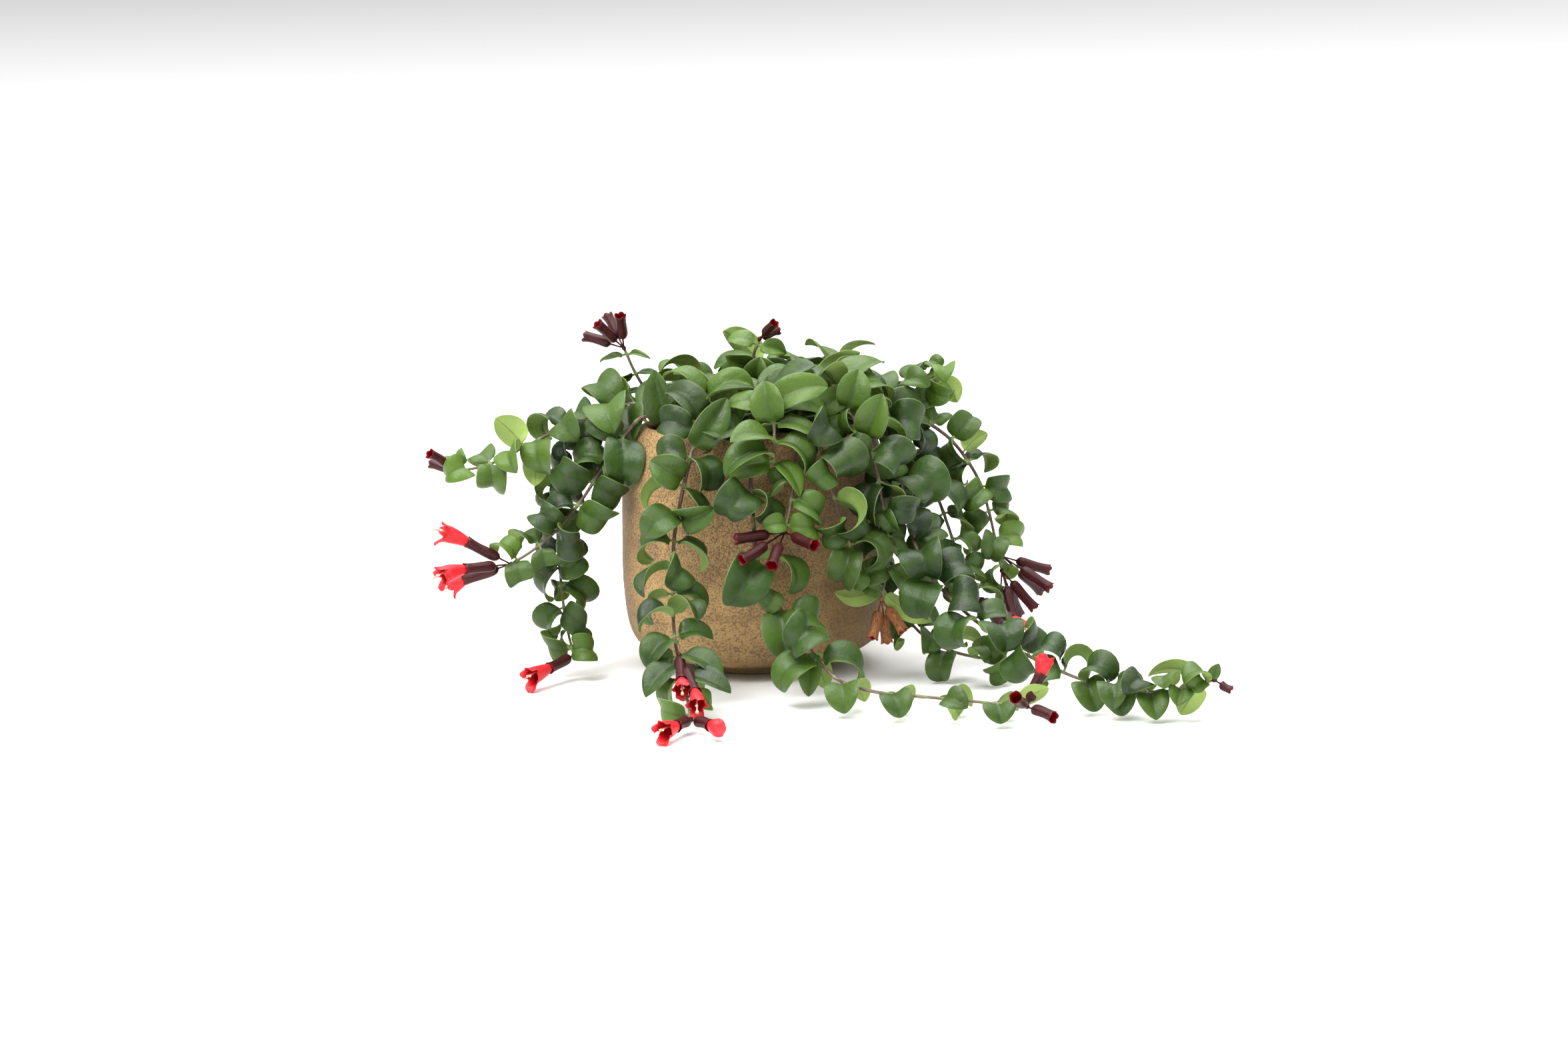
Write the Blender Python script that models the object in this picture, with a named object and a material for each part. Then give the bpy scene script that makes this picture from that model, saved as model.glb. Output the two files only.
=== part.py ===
"""A trailing lipstick plant with curled leaves, in a round stoneware pot.

The pot stands on its foot at the origin, +Z up. The longest trail lies along +X and the front of the
plant faces -Y. Lengths are in millimetres and are scaled to metres when a mesh is made.
"""

import math
import random
from dataclasses import dataclass

import bmesh
import bpy
from mathutils import Matrix, Vector
from mathutils.bvhtree import BVHTree

MM = 0.001
SHARP_ANGLE = math.radians(50)
UP = Vector((0, 0, 1))

# Clearance between pieces that touch.
GAP = 0.35

# The pot: outer and inner profile as (radius, height).
POT_SIDES = 32
FOOT_RADIUS = 50.0
FOOT_HEIGHT = 5.0
POT_OUTSIDE = (
    (66, 6), (78, 10), (87, 16), (93, 24), (97, 37), (99.3, 58), (100, 80), (99, 118), (97, 150),
    (92.5, 166), (87, 177), (82.5, 181),
)
POT_INSIDE = ((78.5, 180.5), (76.5, 176), (80, 166), (87, 148), (90, 115), (89, 55), (82, 26), (66, 14))
POT_FLOOR = 12.0
SOIL_RADIUS = 82.0

# The stems leave the soil at this height, a gap above its top.
STEM_FOOT = 158.0
SOIL_TOP = STEM_FOOT - GAP

# Stems.
STEM_BASE = 1.6
STEM_TIP = 0.95
NODE_LENGTH = 3.2
LAST_PAIR = 3.0
MOST_SAG = 0.7
SAMPLE = 1.0
# The side of the stem's square section that each leaf of a pair grows from.
LEAF_SIDES = {1: 3, -1: 1}

# Leaves.
LEAF_THICKNESS = 1.5
LEAF_STATIONS = (0.24, 0.52, 0.8)
LEAST_SPREAD = 0.62
CLEARANCE = 0.4
FLOOR_CLEARANCE = 0.3
ATTEMPTS = 26

# Flowers.
PEDICEL = 0.75
HUB_RADIUS = 1.7
SHORTEST_STALK = 3.0
CALYX_LENGTH = 26.0
CALYX_RADIUS = 3.0
CALYX_MOUTH = 3.6
CALYX_BORE = 2.8
CALYX_DEPTH = 7.0
COROLLA_ROOT = 4.5


@dataclass(frozen=True)
class Trail:
    """A stem with its leaves: its route from the soil to the tip, and how it is clothed."""

    name: str
    route: tuple
    turn: tuple
    pitch: float = 24.0
    first: float = 26.0
    leaf: float = 49.0
    tip_leaf: float = 30.0
    curl: tuple = (150, 275)


@dataclass(frozen=True)
class Truss:
    """Calyces on thin stalks from one hub, which sits on a trail's tip or beside its stem.

    at is the distance from the tip where the hub sits, mouths are the open ends of the calyces, and
    flowers gives the number of a calyx, how far its corolla stands out, and how far it bends aside.
    """

    name: str
    trail: str
    mouths: tuple
    flowers: tuple = ()
    at: float = 0.0
    calyx: float = CALYX_LENGTH


TRAILS = (
    Trail(
        "crown_left",
        ((-36, -6, 158), (-52, -10, 181), (-68, -14, 189), (-82, -17, 191)),
        (0, -0.4, 1), leaf=47, tip_leaf=42, pitch=15, curl=(40, 130),
    ),
    Trail(
        "crown_front_left",
        ((-16, -16, 158), (-24, -26, 184), (-30, -40, 199), (-34, -53, 203)),
        (0, -0.6, 1), leaf=47, tip_leaf=44, pitch=15, curl=(60, 170),
    ),
    Trail(
        "crown_front",
        ((4, -18, 158), (6, -36, 190), (9, -56, 206), (12, -76, 207), (14, -92, 199)),
        (0, -0.6, 1), leaf=48, tip_leaf=46, pitch=15, curl=(60, 170),
    ),
    Trail(
        "crown_front_middle",
        ((12, -34, 158), (15, -62, 187), (16, -86, 194), (16, -101, 182), (15, -108, 162)),
        (0, -1, 0.6), leaf=48, tip_leaf=42, pitch=17, curl=(90, 200),
    ),
    Trail(
        "crown_right",
        ((26, -8, 158), (38, -20, 190), (53, -36, 208), (69, -52, 210), (80, -64, 202)),
        (0.2, -0.6, 1), leaf=48, tip_leaf=46, pitch=15, curl=(60, 170),
    ),
    Trail(
        "crown_back_left",
        ((-20, 24, 158), (-30, 34, 188), (-42, 46, 204), (-53, 57, 207)),
        (-0.2, 0.4, 1), leaf=45, tip_leaf=40, pitch=16, curl=(80, 200),
    ),
    Trail(
        "crown_back",
        ((2, 26, 158), (4, 36, 192), (6, 50, 213), (8, 65, 217)),
        (0, 0.4, 1), leaf=46, tip_leaf=40, pitch=15, curl=(80, 200),
    ),
    Trail(
        "crown_back_right",
        ((24, 24, 158), (36, 32, 192), (52, 43, 211), (67, 52, 214)),
        (0.2, 0.4, 1), leaf=46, tip_leaf=40, pitch=15, curl=(80, 200),
    ),
    Trail(
        "trail_left_high",
        ((-44, 6, 158), (-62, 2, 184), (-86, -2, 197), (-115, -5, 190), (-140, -10, 182),
         (-166, -15, 170), (-195, -20, 157), (-216, -22, 153)),
        (0, -0.3, 1), curl=(120, 250),
    ),
    Trail(
        "trail_left_middle",
        ((-45, -20, 158), (-62, -26, 183), (-80, -30, 190), (-98, -34, 172), (-112, -40, 152),
         (-127, -50, 131), (-144, -56, 112), (-162, -60, 98), (-176, -63, 90)),
        (-0.3, -1, 0.3),
    ),
    Trail(
        "trail_left_floor",
        ((-50, 20, 158), (-68, 20, 184), (-88, 14, 190), (-112, 8, 174), (-132, 0, 154),
         (-144, -12, 128), (-146, -24, 100), (-144, -34, 70), (-141, -42, 42), (-136, -50, 20)),
        (-0.4, -1, 0),
    ),
    Trail(
        "trail_front_left",
        ((-22, -38, 158), (-32, -62, 184), (-38, -84, 190), (-43, -99, 172), (-50, -107, 145),
         (-56, -113, 118), (-58, -126, 93), (-58, -145, 71), (-57, -166, 54), (-54, -187, 40),
         (-50, -207, 27), (-47, -225, 17), (-45, -240, 9)),
        (0, -0.5, 1),
    ),
    Trail(
        "trail_front_floor",
        ((0, -42, 158), (-1, -64, 186), (-2, -86, 190), (-2, -103, 168), (-1, -112, 142),
         (0, -118, 114), (4, -123, 88), (15, -131, 66), (31, -149, 46), (45, -174, 30), (58, -195, 22),
         (80, -213, 18), (107, -226, 17), (136, -238, 16), (157, -247, 15), (178, -255, 14)),
        (0, -0.3, 1),
    ),
    Trail(
        "trail_front_short",
        ((22, -38, 158), (28, -62, 186), (31, -85, 193), (31, -100, 176), (29, -109, 156),
         (26, -117, 134), (22, -122, 118)),
        (0, -1, 0.3), leaf=42, pitch=22,
    ),
    Trail(
        "trail_front_cluster",
        ((30, -30, 158), (38, -54, 187), (43, -76, 193), (48, -95, 176), (54, -104, 150),
         (61, -108, 124), (69, -108, 100), (74, -107, 84)),
        (0.2, -1, 0.3), pitch=21,
    ),
    Trail(
        "trail_front_right",
        ((38, -22, 158), (46, -36, 186), (54, -50, 199), (65, -61, 197), (75, -72, 187), (83, -82, 172),
         (88, -90, 156), (91, -93, 136), (95, -94, 110), (94, -95, 84), (90, -96, 64)),
        (0.3, -1, 0.2),
    ),
    Trail(
        "trail_right_floor",
        ((52, -2, 158), (72, -5, 185), (92, -9, 188), (106, -14, 166), (109, -26, 136), (108, -36, 104),
         (106, -48, 72), (108, -63, 46), (119, -78, 32), (136, -90, 23), (153, -99, 19), (178, -108, 16)),
        (0.3, -0.5, 1),
    ),
    Trail(
        "trail_right_long",
        ((50, -18, 158), (68, -27, 185), (88, -34, 188), (101, -42, 168), (107, -58, 136),
         (112, -79, 108), (120, -98, 87), (131, -113, 72), (145, -129, 59), (161, -146, 47),
         (178, -164, 37), (198, -184, 29), (222, -210, 22), (252, -233, 19), (278, -245, 20),
         (304, -250, 27)),
        (-0.2, -0.5, 1),
    ),
    Trail(
        "trail_right_near",
        ((58, 12, 158), (78, 8, 188), (98, 2, 188), (112, -5, 171), (122, -11, 152), (131, -15, 134),
         (139, -19, 113), (145, -22, 94), (151, -27, 74), (160, -32, 54)),
        (0.4, -1, 0.2), leaf=40,
    ),
    Trail(
        "trail_right_far",
        ((52, 26, 158), (78, 22, 190), (106, 15, 191), (132, 10, 175), (147, 10, 163), (158, 8, 149),
         (168, 4, 131), (174, -1, 110), (178, -6, 90), (182, -10, 68)),
        (0.6, -1, 0.2), leaf=40,
    ),
    Trail(
        "shoot_left_tall",
        ((-54, 28, 158), (-64, 27, 182), (-77, 25, 200), (-87, 22, 218), (-94, 20, 235)),
        (-0.4, -1, 0), leaf=34, tip_leaf=30, pitch=17, curl=(20, 90),
    ),
    Trail(
        "shoot_top",
        ((-8, 8, 158), (0, 10, 190), (4, 10, 214), (2, 10, 229), (6, 10, 240)),
        (0, -1, 0), leaf=40, tip_leaf=24, pitch=17, curl=(30, 140),
    ),
    Trail(
        "shoot_right_top",
        ((38, 8, 158), (58, 12, 188), (88, 15, 203), (108, 15, 206), (128, 15, 206), (140, 15, 210),
         (146, 15, 217)),
        (0, -0.3, 1), leaf=40, pitch=20, curl=(90, 220),
    ),
    Trail(
        "trail_back_left",
        ((-36, 40, 158), (-50, 56, 184), (-60, 73, 189), (-67, 88, 168), (-69, 98, 132), (-69, 103, 92),
         (-67, 108, 52), (-64, 120, 24)),
        (-0.5, 1, 0.2), leaf=42, pitch=27,
    ),
    Trail(
        "trail_back_middle_left",
        ((-14, 46, 158), (-18, 64, 186), (-22, 84, 190), (-24, 103, 164), (-24, 112, 126),
         (-22, 117, 92), (-20, 120, 62)),
        (0, 1, 0.2), leaf=44, pitch=27,
    ),
    Trail(
        "trail_back_middle_right",
        ((14, 46, 158), (20, 66, 186), (26, 85, 190), (30, 104, 164), (32, 113, 124), (34, 119, 84),
         (38, 128, 46), (46, 148, 24), (55, 175, 18), (62, 202, 17)),
        (0, 0.5, 1), leaf=44, pitch=27,
    ),
    Trail(
        "trail_back_right",
        ((40, 40, 158), (52, 54, 185), (66, 70, 188), (76, 84, 164), (82, 91, 126), (84, 95, 86),
         (84, 99, 54)),
        (0.5, 1, 0.2), leaf=42, pitch=27,
    ),
)

TRUSSES = (
    Truss(
        "calyces_left_high", "trail_left_high",
        ((-236, -38, 168), (-238, -14, 158)),
        calyx=16,
    ),
    Truss(
        "calyces_left_middle", "trail_left_middle",
        ((-208, -70, 107), (-209, -88, 90), (-212, -60, 78)),
        ((0, 25, (0, -3, -3)), (1, 25, (0, 0, -5)), (2, 14, (0, 0, -3))),
    ),
    Truss(
        "calyx_left_floor", "trail_left_floor",
        ((-152, -77, 14),),
        ((0, 28, (0, 0, 1)),),
    ),
    Truss(
        "calyces_left_tall", "shoot_left_tall",
        ((-96, 6, 262), (-107, 34, 260), (-113, 8, 256), (-124, 24, 246)),
        calyx=20,
    ),
    Truss(
        "calyces_front_upper", "trail_front_left",
        ((-53, -220, 26), (-38, -227, 24)),
        ((0, 10, (0, 0, -2)), (1, 20, (-4, -3, 0))),
        at=62,
    ),
    Truss(
        "calyces_front_floor", "trail_front_left",
        ((-54, -266, 9), (-31, -267, 9)),
        ((0, 24, (-2, 0, 0)), (1, 17, (0, 0, 0))),
        calyx=20,
    ),
    Truss(
        "calyces_front_right_floor", "trail_front_floor",
        ((190, -250, 34), (171, -278, 25), (196, -274, 10)),
        ((0, 14, (-3, 3, 0)),),
        calyx=19,
    ),
    Truss(
        "calyces_front_short", "trail_front_short",
        ((-13, -130, 113), (-9, -148, 101), (12, -158, 98), (42, -148, 110)),
        calyx=24,
    ),
    Truss(
        "calyces_front_right", "trail_front_right",
        ((82, -108, 36), (93, -92, 30), (104, -106, 40)),
        calyx=20,
    ),
    Truss(
        "calyx_right_long", "trail_right_long",
        ((316, -256, 22),),
        calyx=8,
    ),
    Truss(
        "calyces_right_near", "trail_right_near",
        ((186, -48, 36), (178, -18, 30)),
        ((0, 14, (0, 0, -3)),),
    ),
    Truss(
        "calyces_right_far_upper", "trail_right_far",
        ((218, 0, 64), (217, -22, 54), (213, 14, 46)),
        at=8,
    ),
    Truss(
        "calyces_right_far_lower", "trail_right_far",
        ((206, -16, 38), (196, 8, 30), (190, -30, 32), (180, -4, 26)),
    ),
    Truss(
        "calyces_top", "shoot_top",
        ((18, -2, 254), (20, 20, 247)),
        calyx=14,
    ),
)

MATERIALS = {
    "stoneware": ((0.36, 0.26, 0.12), 0.8),
    "potting_soil": ((0.05, 0.033, 0.022), 0.95),
    "leaf": ((0.035, 0.12, 0.03), 0.35),
    "calyx": ((0.09, 0.008, 0.012), 0.4),
    "corolla": ((0.72, 0.012, 0.015), 0.4),
}


def smooth_points(points, step):
    """Points about step apart on a Catmull-Rom curve through the given ones."""
    knots = [Vector(point) for point in points]
    knots = [knots[0] * 2 - knots[1], *knots, knots[-1] * 2 - knots[-2]]
    found = [knots[1]]
    for a, b, c, d in zip(knots, knots[1:], knots[2:], knots[3:]):
        count = max(2, round((c - b).length / step))
        for i in range(1, count + 1):
            t = i / count
            found.append(0.5 * (2 * b + (c - a) * t + (2 * a - 5 * b + 4 * c - d) * t**2
                                + (3 * b - 3 * c + d - a) * t**3))
    return found


def straight_cut(vector, axis):
    """The unit part of a vector that is square to an axis."""
    return (vector - axis * vector.dot(axis)).normalized()


class Stem:
    """The centre line of a stem, with a frame carried along it without twist."""

    def __init__(self, trail):
        self.points = smooth_points(trail.route, SAMPLE)
        steps = [(b - a).length for a, b in zip(self.points, self.points[1:])]
        self.distances = [0.0]
        for step in steps:
            self.distances.append(self.distances[-1] + step)
        self.length = self.distances[-1]
        ends = [self.points[0] * 2 - self.points[1], *self.points, self.points[-1] * 2 - self.points[-2]]
        self.tangents = [(c - a).normalized() for a, c in zip(ends, ends[2:])]
        self.tangents[0] = UP.copy()
        normal = straight_cut(Vector(trail.turn), self.tangents[-1])
        self.normals = [normal]
        for tangent in reversed(self.tangents[:-1]):
            normal = straight_cut(normal, tangent)
            self.normals.insert(0, normal)
        pairs = max(1, math.floor((self.length - trail.first - LAST_PAIR) / trail.pitch) + 1)
        spacing = (self.length - trail.first - LAST_PAIR) / max(1, pairs - 1)
        self.pairs = [trail.first + number * spacing for number in range(pairs)]
        self.stations = self.section_distances()

    def section_distances(self):
        """Where the stem has a section: both ends, each side of a leaf pair, and where it bends between."""
        fixed = [0.0]
        for pair in self.pairs:
            fixed += [pair - NODE_LENGTH / 2, pair + NODE_LENGTH / 2]
        if self.length - fixed[-1] > 1:
            fixed.append(self.length)
        found = []
        for start, end in zip(fixed, fixed[1:]):
            middle = (start + end) / 2
            chord = (self.at(start)[0] + self.at(end)[0]) / 2
            found.append(start)
            if (self.at(middle)[0] - chord).length > MOST_SAG:
                found.append(middle)
        return [*found, fixed[-1]]

    def at(self, distance):
        """Point, tangent and outward side of the stem at a distance from the soil."""
        i = min(range(len(self.distances)), key=lambda k: abs(self.distances[k] - distance))
        return self.points[i], self.tangents[i], self.normals[i]

    def radius(self, distance):
        return STEM_BASE + (STEM_TIP - STEM_BASE) * distance / self.length

    def side(self, distance, k):
        """Corners of one side of the short length of stem that a leaf grows from."""
        lower = self.ring(distance - NODE_LENGTH / 2)
        upper = self.ring(distance + NODE_LENGTH / 2)
        after = (k + 1) % 4
        return [lower[k], lower[after], upper[after], upper[k]]

    def ring(self, distance):
        """Four corners of the stem's square section."""
        point, tangent, normal = self.at(distance)
        side = normal.cross(tangent)
        corners = []
        for quarter in range(4):
            angle = math.radians(45 + 90 * quarter)
            outward = side * math.cos(angle) + normal * math.sin(angle)
            corners.append(point + outward * self.radius(distance))
        return corners


@dataclass(frozen=True)
class Leaf:
    """A thick leaf: straight for its reach, then curled back in a ring round its own underside."""

    seat: Vector
    out: Vector
    face: Vector
    length: float
    width: float
    reach: float
    curl: float
    fold: float
    spiral: float

    def frame(self, t):
        """Point on the midrib at a fraction of the length, and the leaf's upward normal there."""
        distance = t * self.length
        if distance <= self.reach:
            return self.seat + self.out * distance, self.face
        bend = self.length - self.reach
        radius = bend / self.curl
        angle = (distance - self.reach) / radius
        centre = self.seat + self.out * self.reach
        drop = (1 - math.cos(angle)) * radius
        point = centre + self.out * (math.sin(angle) * radius) - self.face * drop
        point += self.out.cross(self.face) * (self.spiral * angle / self.curl)
        return point, self.face * math.cos(angle) + self.out * math.sin(angle)

    def half_width(self, t):
        """Half the width of the blade: broad past its base, drawn out to a point."""
        return self.width / 2 * math.sin(math.pi * t**0.85) ** 0.7

    def section(self, t, extra=0.0):
        """Left edge, upper midrib, right edge and lower midrib, thickened by extra."""
        point, normal = self.frame(t)
        axis = self.out.cross(self.face)
        half = self.half_width(t) + extra
        lift = normal * (half * self.fold)
        thick = LEAF_THICKNESS / 2 + extra
        return [point - axis * half + lift, point + normal * thick, point + axis * half + lift,
                point - normal * thick]

    def tip(self):
        return self.frame(1.0)[0]


class Skin:
    """A closed surface that grows ring by ring."""

    def __init__(self):
        self.points = []
        self.faces = []

    def ring(self, points):
        start = len(self.points)
        self.points.extend(points)
        return list(range(start, len(self.points)))

    def lined_up(self, ring, target):
        """The target ring, turned so that each corner of ring meets its nearest one."""
        ratio = len(target) // len(ring)
        choices = [target[k:] + target[:k] for k in range(len(target))]

        def stretch(choice):
            pairs = zip(ring, choice[::ratio])
            return sum((self.points[i] - self.points[j]).length_squared for i, j in pairs)

        return min(choices, key=stretch)

    def bridge(self, ring, points):
        """Joins a ring to new points, as many or twice as many, and returns their ring."""
        target = self.lined_up(ring, self.ring(points))
        if len(target) == len(ring):
            self.wrap(ring, target)
            return target
        for i, corner in enumerate(ring):
            following = ring[(i + 1) % len(ring)]
            first, middle, last = (target[(2 * i + k) % len(target)] for k in range(3))
            self.faces += [(corner, middle, first), (corner, following, middle), (following, last, middle)]
        return target

    def wrap(self, ring, target, openings=()):
        """Two triangles for each side between two rings, except the numbered sides.

        The diagonals leave every second corner, so that the two faces of a thin leaf bend alike.
        """
        for k, corner in enumerate(ring):
            if k in openings:
                continue
            following = ring[(k + 1) % len(ring)]
            above = target[(k + 1) % len(ring)]
            if target[k] % 2 == min(target) % 2:
                self.faces += [(corner, following, above), (corner, above, target[k])]
            else:
                self.faces += [(corner, following, target[k]), (following, above, target[k])]

    def sleeve(self, ring, points, openings=()):
        """Joins a ring to as many new points, corner to corner, and leaves the numbered sides open."""
        target = self.ring(points)
        self.wrap(ring, target, openings)
        return target

    def blade(self, stalk, leaf, extra=0.0):
        """Grows a leaf out of its stalk."""
        first, *others = LEAF_STATIONS
        ring = sorted(self.bridge(stalk, leaf.section(first, extra)))
        for t in others:
            ring = self.sleeve(ring, leaf.section(t, extra))
        self.point(ring, leaf.tip())

    def cap(self, ring):
        self.faces.append(tuple(ring))

    def point(self, ring, tip):
        """Closes a ring in a point."""
        apex = self.ring([tip])[0]
        for i, corner in enumerate(ring):
            self.faces.append((corner, ring[(i + 1) % len(ring)], apex))

    def tree(self):
        return BVHTree.FromPolygons(self.points, self.faces)

    def crosses_itself(self):
        """Whether two faces that share no corner cross."""
        tree = self.tree()
        return any(not set(self.faces[i]) & set(self.faces[j]) for i, j in tree.overlap(tree))

    def build(self, name, material):
        """An object made of the surface, in metres, with its faces turned outwards."""
        bm = bmesh.new()
        corners = [bm.verts.new(point * MM) for point in self.points]
        for face in self.faces:
            bm.faces.new([corners[i] for i in face])
        bmesh.ops.recalc_face_normals(bm, faces=bm.faces)
        bmesh.ops.triangulate(bm, faces=bm.faces)
        mesh = bpy.data.meshes.new(name)
        bm.to_mesh(mesh)
        bm.free()
        mesh.shade_smooth()
        mesh.set_sharp_from_angle(angle=SHARP_ANGLE)
        mesh.materials.append(material)
        return add_object(name, mesh)


def add_object(name, mesh):
    obj = bpy.data.objects.new(name, mesh)
    bpy.context.scene.collection.objects.link(obj)
    return obj


def make_material(name, colour, roughness):
    material = bpy.data.materials.new(name)
    material.use_nodes = True
    shader = material.node_tree.nodes["Principled BSDF"]
    shader.inputs["Base Color"].default_value = (*colour, 1)
    shader.inputs["Roughness"].default_value = roughness
    shader.inputs["Metallic"].default_value = 0
    return material


def circle(centre, axis, radius, count):
    """Points of a circle round an axis."""
    side = straight_cut(Vector((0.31, 0.47, 0.83)), axis)
    turn = Matrix.Rotation(2 * math.pi / count, 3, axis)
    found = []
    for _ in range(count):
        found.append(centre + side * radius)
        side = turn @ side
    return found


def turned(name, profile, material):
    """A round solid from a half profile that runs from its axis, down its outer side, and back."""
    mesh = bpy.data.meshes.new(name)
    points = [(radius * MM, 0, height * MM) for radius, height in profile]
    mesh.from_pydata(points, [(i, i + 1) for i in range(len(points) - 1)], [])
    mesh.materials.append(material)
    obj = add_object(name, mesh)
    screw = obj.modifiers.new("turn", "SCREW")
    screw.axis = "Z"
    screw.steps = POT_SIDES
    screw.render_steps = POT_SIDES
    screw.use_merge_vertices = True
    screw.merge_threshold = 0.00001
    screw.use_smooth_shade = True
    return obj


def pot_profile():
    """From the middle of the inner floor, up the inside, over the rim and down to the foot."""
    inside = [(0, POT_FLOOR), *reversed(POT_INSIDE)]
    outside = [*reversed(POT_OUTSIDE), (FOOT_RADIUS, FOOT_HEIGHT), (FOOT_RADIUS, 0), (0, 0)]
    return inside + outside


def soil_profile():
    """The filling of the pot, a gap inside its wall."""
    below = [(radius - GAP, height) for radius, height in POT_INSIDE if height < SOIL_TOP - 8]
    above = [(0, SOIL_TOP), (SOIL_RADIUS - 2, SOIL_TOP), (SOIL_RADIUS, SOIL_TOP - 2)]
    return [*above, *below, (0, POT_FLOOR + GAP)]


def hub_centre(truss, stem):
    """The middle of a truss's hub, on the tip of its stem or beside it."""
    distance = stem.length - truss.at
    point, tangent, _ = stem.at(distance)
    mouths = [Vector(mouth) for mouth in truss.mouths]
    towards = sum(mouths, Vector()) / len(mouths) - point
    if truss.at:
        return point + straight_cut(towards, tangent) * (stem.radius(distance) + HUB_RADIUS + GAP)
    return point + tangent * (HUB_RADIUS + GAP)


def grow_hub(centre, towards):
    """A small rounded knot with six sides."""
    skin = Skin()
    ring = skin.ring(circle(centre - towards * HUB_RADIUS / 2, towards, HUB_RADIUS * 0.8, 6))
    skin.point(ring[::-1], centre - towards * HUB_RADIUS)
    ring = skin.sleeve(ring, circle(centre + towards * HUB_RADIUS / 2, towards, HUB_RADIUS * 0.8, 6))
    skin.point(ring, centre + towards * HUB_RADIUS)
    return skin


def calyx_line(centre, mouth, longest):
    """The base, direction and length of a calyx whose stalk starts in the hub."""
    axis = (mouth - centre).normalized()
    length = min(longest, (mouth - centre).length - SHORTEST_STALK)
    return mouth - axis * length, axis, length


def grow_calyx(centre, mouth, longest):
    """A stalk and a hollow calyx that opens at its mouth."""
    base, axis, length = calyx_line(centre, mouth, longest)
    scale = min(1.0, 0.55 + 0.45 * length / 20)
    depth = min(CALYX_DEPTH, length * 0.4)
    skin = Skin()
    ring = skin.ring(circle(centre, axis, PEDICEL, 4))
    skin.cap(ring)
    ring = skin.bridge(ring, circle(base, axis, PEDICEL * 1.2, 4))
    ring = skin.bridge(ring, circle(base + axis * (length * 0.22), axis, CALYX_RADIUS * scale, 8))
    ring = skin.bridge(ring, circle(mouth, axis, CALYX_MOUTH * scale, 8))
    ring = skin.bridge(ring, circle(mouth, axis, CALYX_BORE * scale, 8))
    ring = skin.bridge(ring, circle(mouth - axis * depth, axis, (CALYX_BORE - 0.2) * scale, 8))
    skin.point(ring, mouth - axis * (depth + 1))
    return skin


def grow_corolla(mouth, axis, length, bend):
    """A curved red trumpet that stands in a calyx and opens at its end."""
    end = mouth + axis * length + bend
    heading = (axis * length + bend * 2).normalized()
    middle = mouth + axis * (length * 0.5) + bend * 0.25
    skin = Skin()
    ring = skin.ring(circle(mouth - axis * COROLLA_ROOT, axis, 1.6, 8))
    skin.cap(ring)
    ring = skin.bridge(ring, circle(mouth - axis * 0.3, axis, 2.0, 8))
    ring = skin.bridge(ring, circle(middle, axis, 3.6, 8))
    ring = skin.bridge(ring, circle(end, heading, 5.2, 8))
    ring = skin.bridge(ring, circle(end, heading, 4.2, 8))
    skin.point(ring, end - heading * (length * 0.3))
    return skin


def build_truss(truss, skins, material):
    """The hub joined with its calyces in one solid."""
    hub, *calyces = skins
    obj = hub.build(truss.name, material)
    for number, calyx in enumerate(calyces, 1):
        helper = calyx.build(f"{truss.name}_helper_{number}", material)
        helper.hide_render = True
        helper.display_type = "WIRE"
        union = obj.modifiers.new(f"calyx_{number}", "BOOLEAN")
        union.operation = "UNION"
        union.solver = "EXACT"
        union.object = helper


def corners_of_box(points):
    """The lowest and the highest corner of the box round some points."""
    lowest = [min(point[k] for point in points) for k in range(3)]
    highest = [max(point[k] for point in points) for k in range(3)]
    return lowest, highest


class Room:
    """What already stands in place, so that a new leaf can be grown clear of it."""

    def __init__(self):
        self.things = []

    def add(self, owner, points, faces):
        self.things.append((owner, *corners_of_box(points), BVHTree.FromPolygons(points, faces)))

    def free(self, points, faces, leaving_out):
        """Whether a surface is clear of all that stands here, one owner's things left out."""
        lowest, highest = corners_of_box(points)
        tree = BVHTree.FromPolygons(points, faces)
        for owner, low, high, other in self.things:
            if owner == leaving_out:
                continue
            if all(lowest[k] <= high[k] and highest[k] >= low[k] for k in range(3)) and tree.overlap(other):
                return False
        return True


def leaf_skin(leaf, stalk, extra=0.0):
    """The leaf alone, to test where it fits."""
    skin = Skin()
    ring = skin.ring(stalk)
    skin.cap(ring)
    skin.blade(ring, leaf, extra)
    return skin


def stands_aside(leaf, lateral):
    """Whether the base of a leaf keeps to its own side of the stem."""
    base = leaf.section(LEAF_STATIONS[0])
    aside = all((point - leaf.seat).dot(lateral) > STEM_BASE for point in base)
    return aside and leaf.out.dot(lateral) > LEAST_SPREAD


def fits(leaf, stalk, trail, room):
    """Whether a leaf stands clear of the surface below and of all things but its own stem."""
    skin = leaf_skin(leaf, stalk, CLEARANCE)
    if min(point.z for point in skin.points) < FLOOR_CLEARANCE + CLEARANCE:
        return False
    return room.free(skin.points, skin.faces, trail.name)


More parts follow.
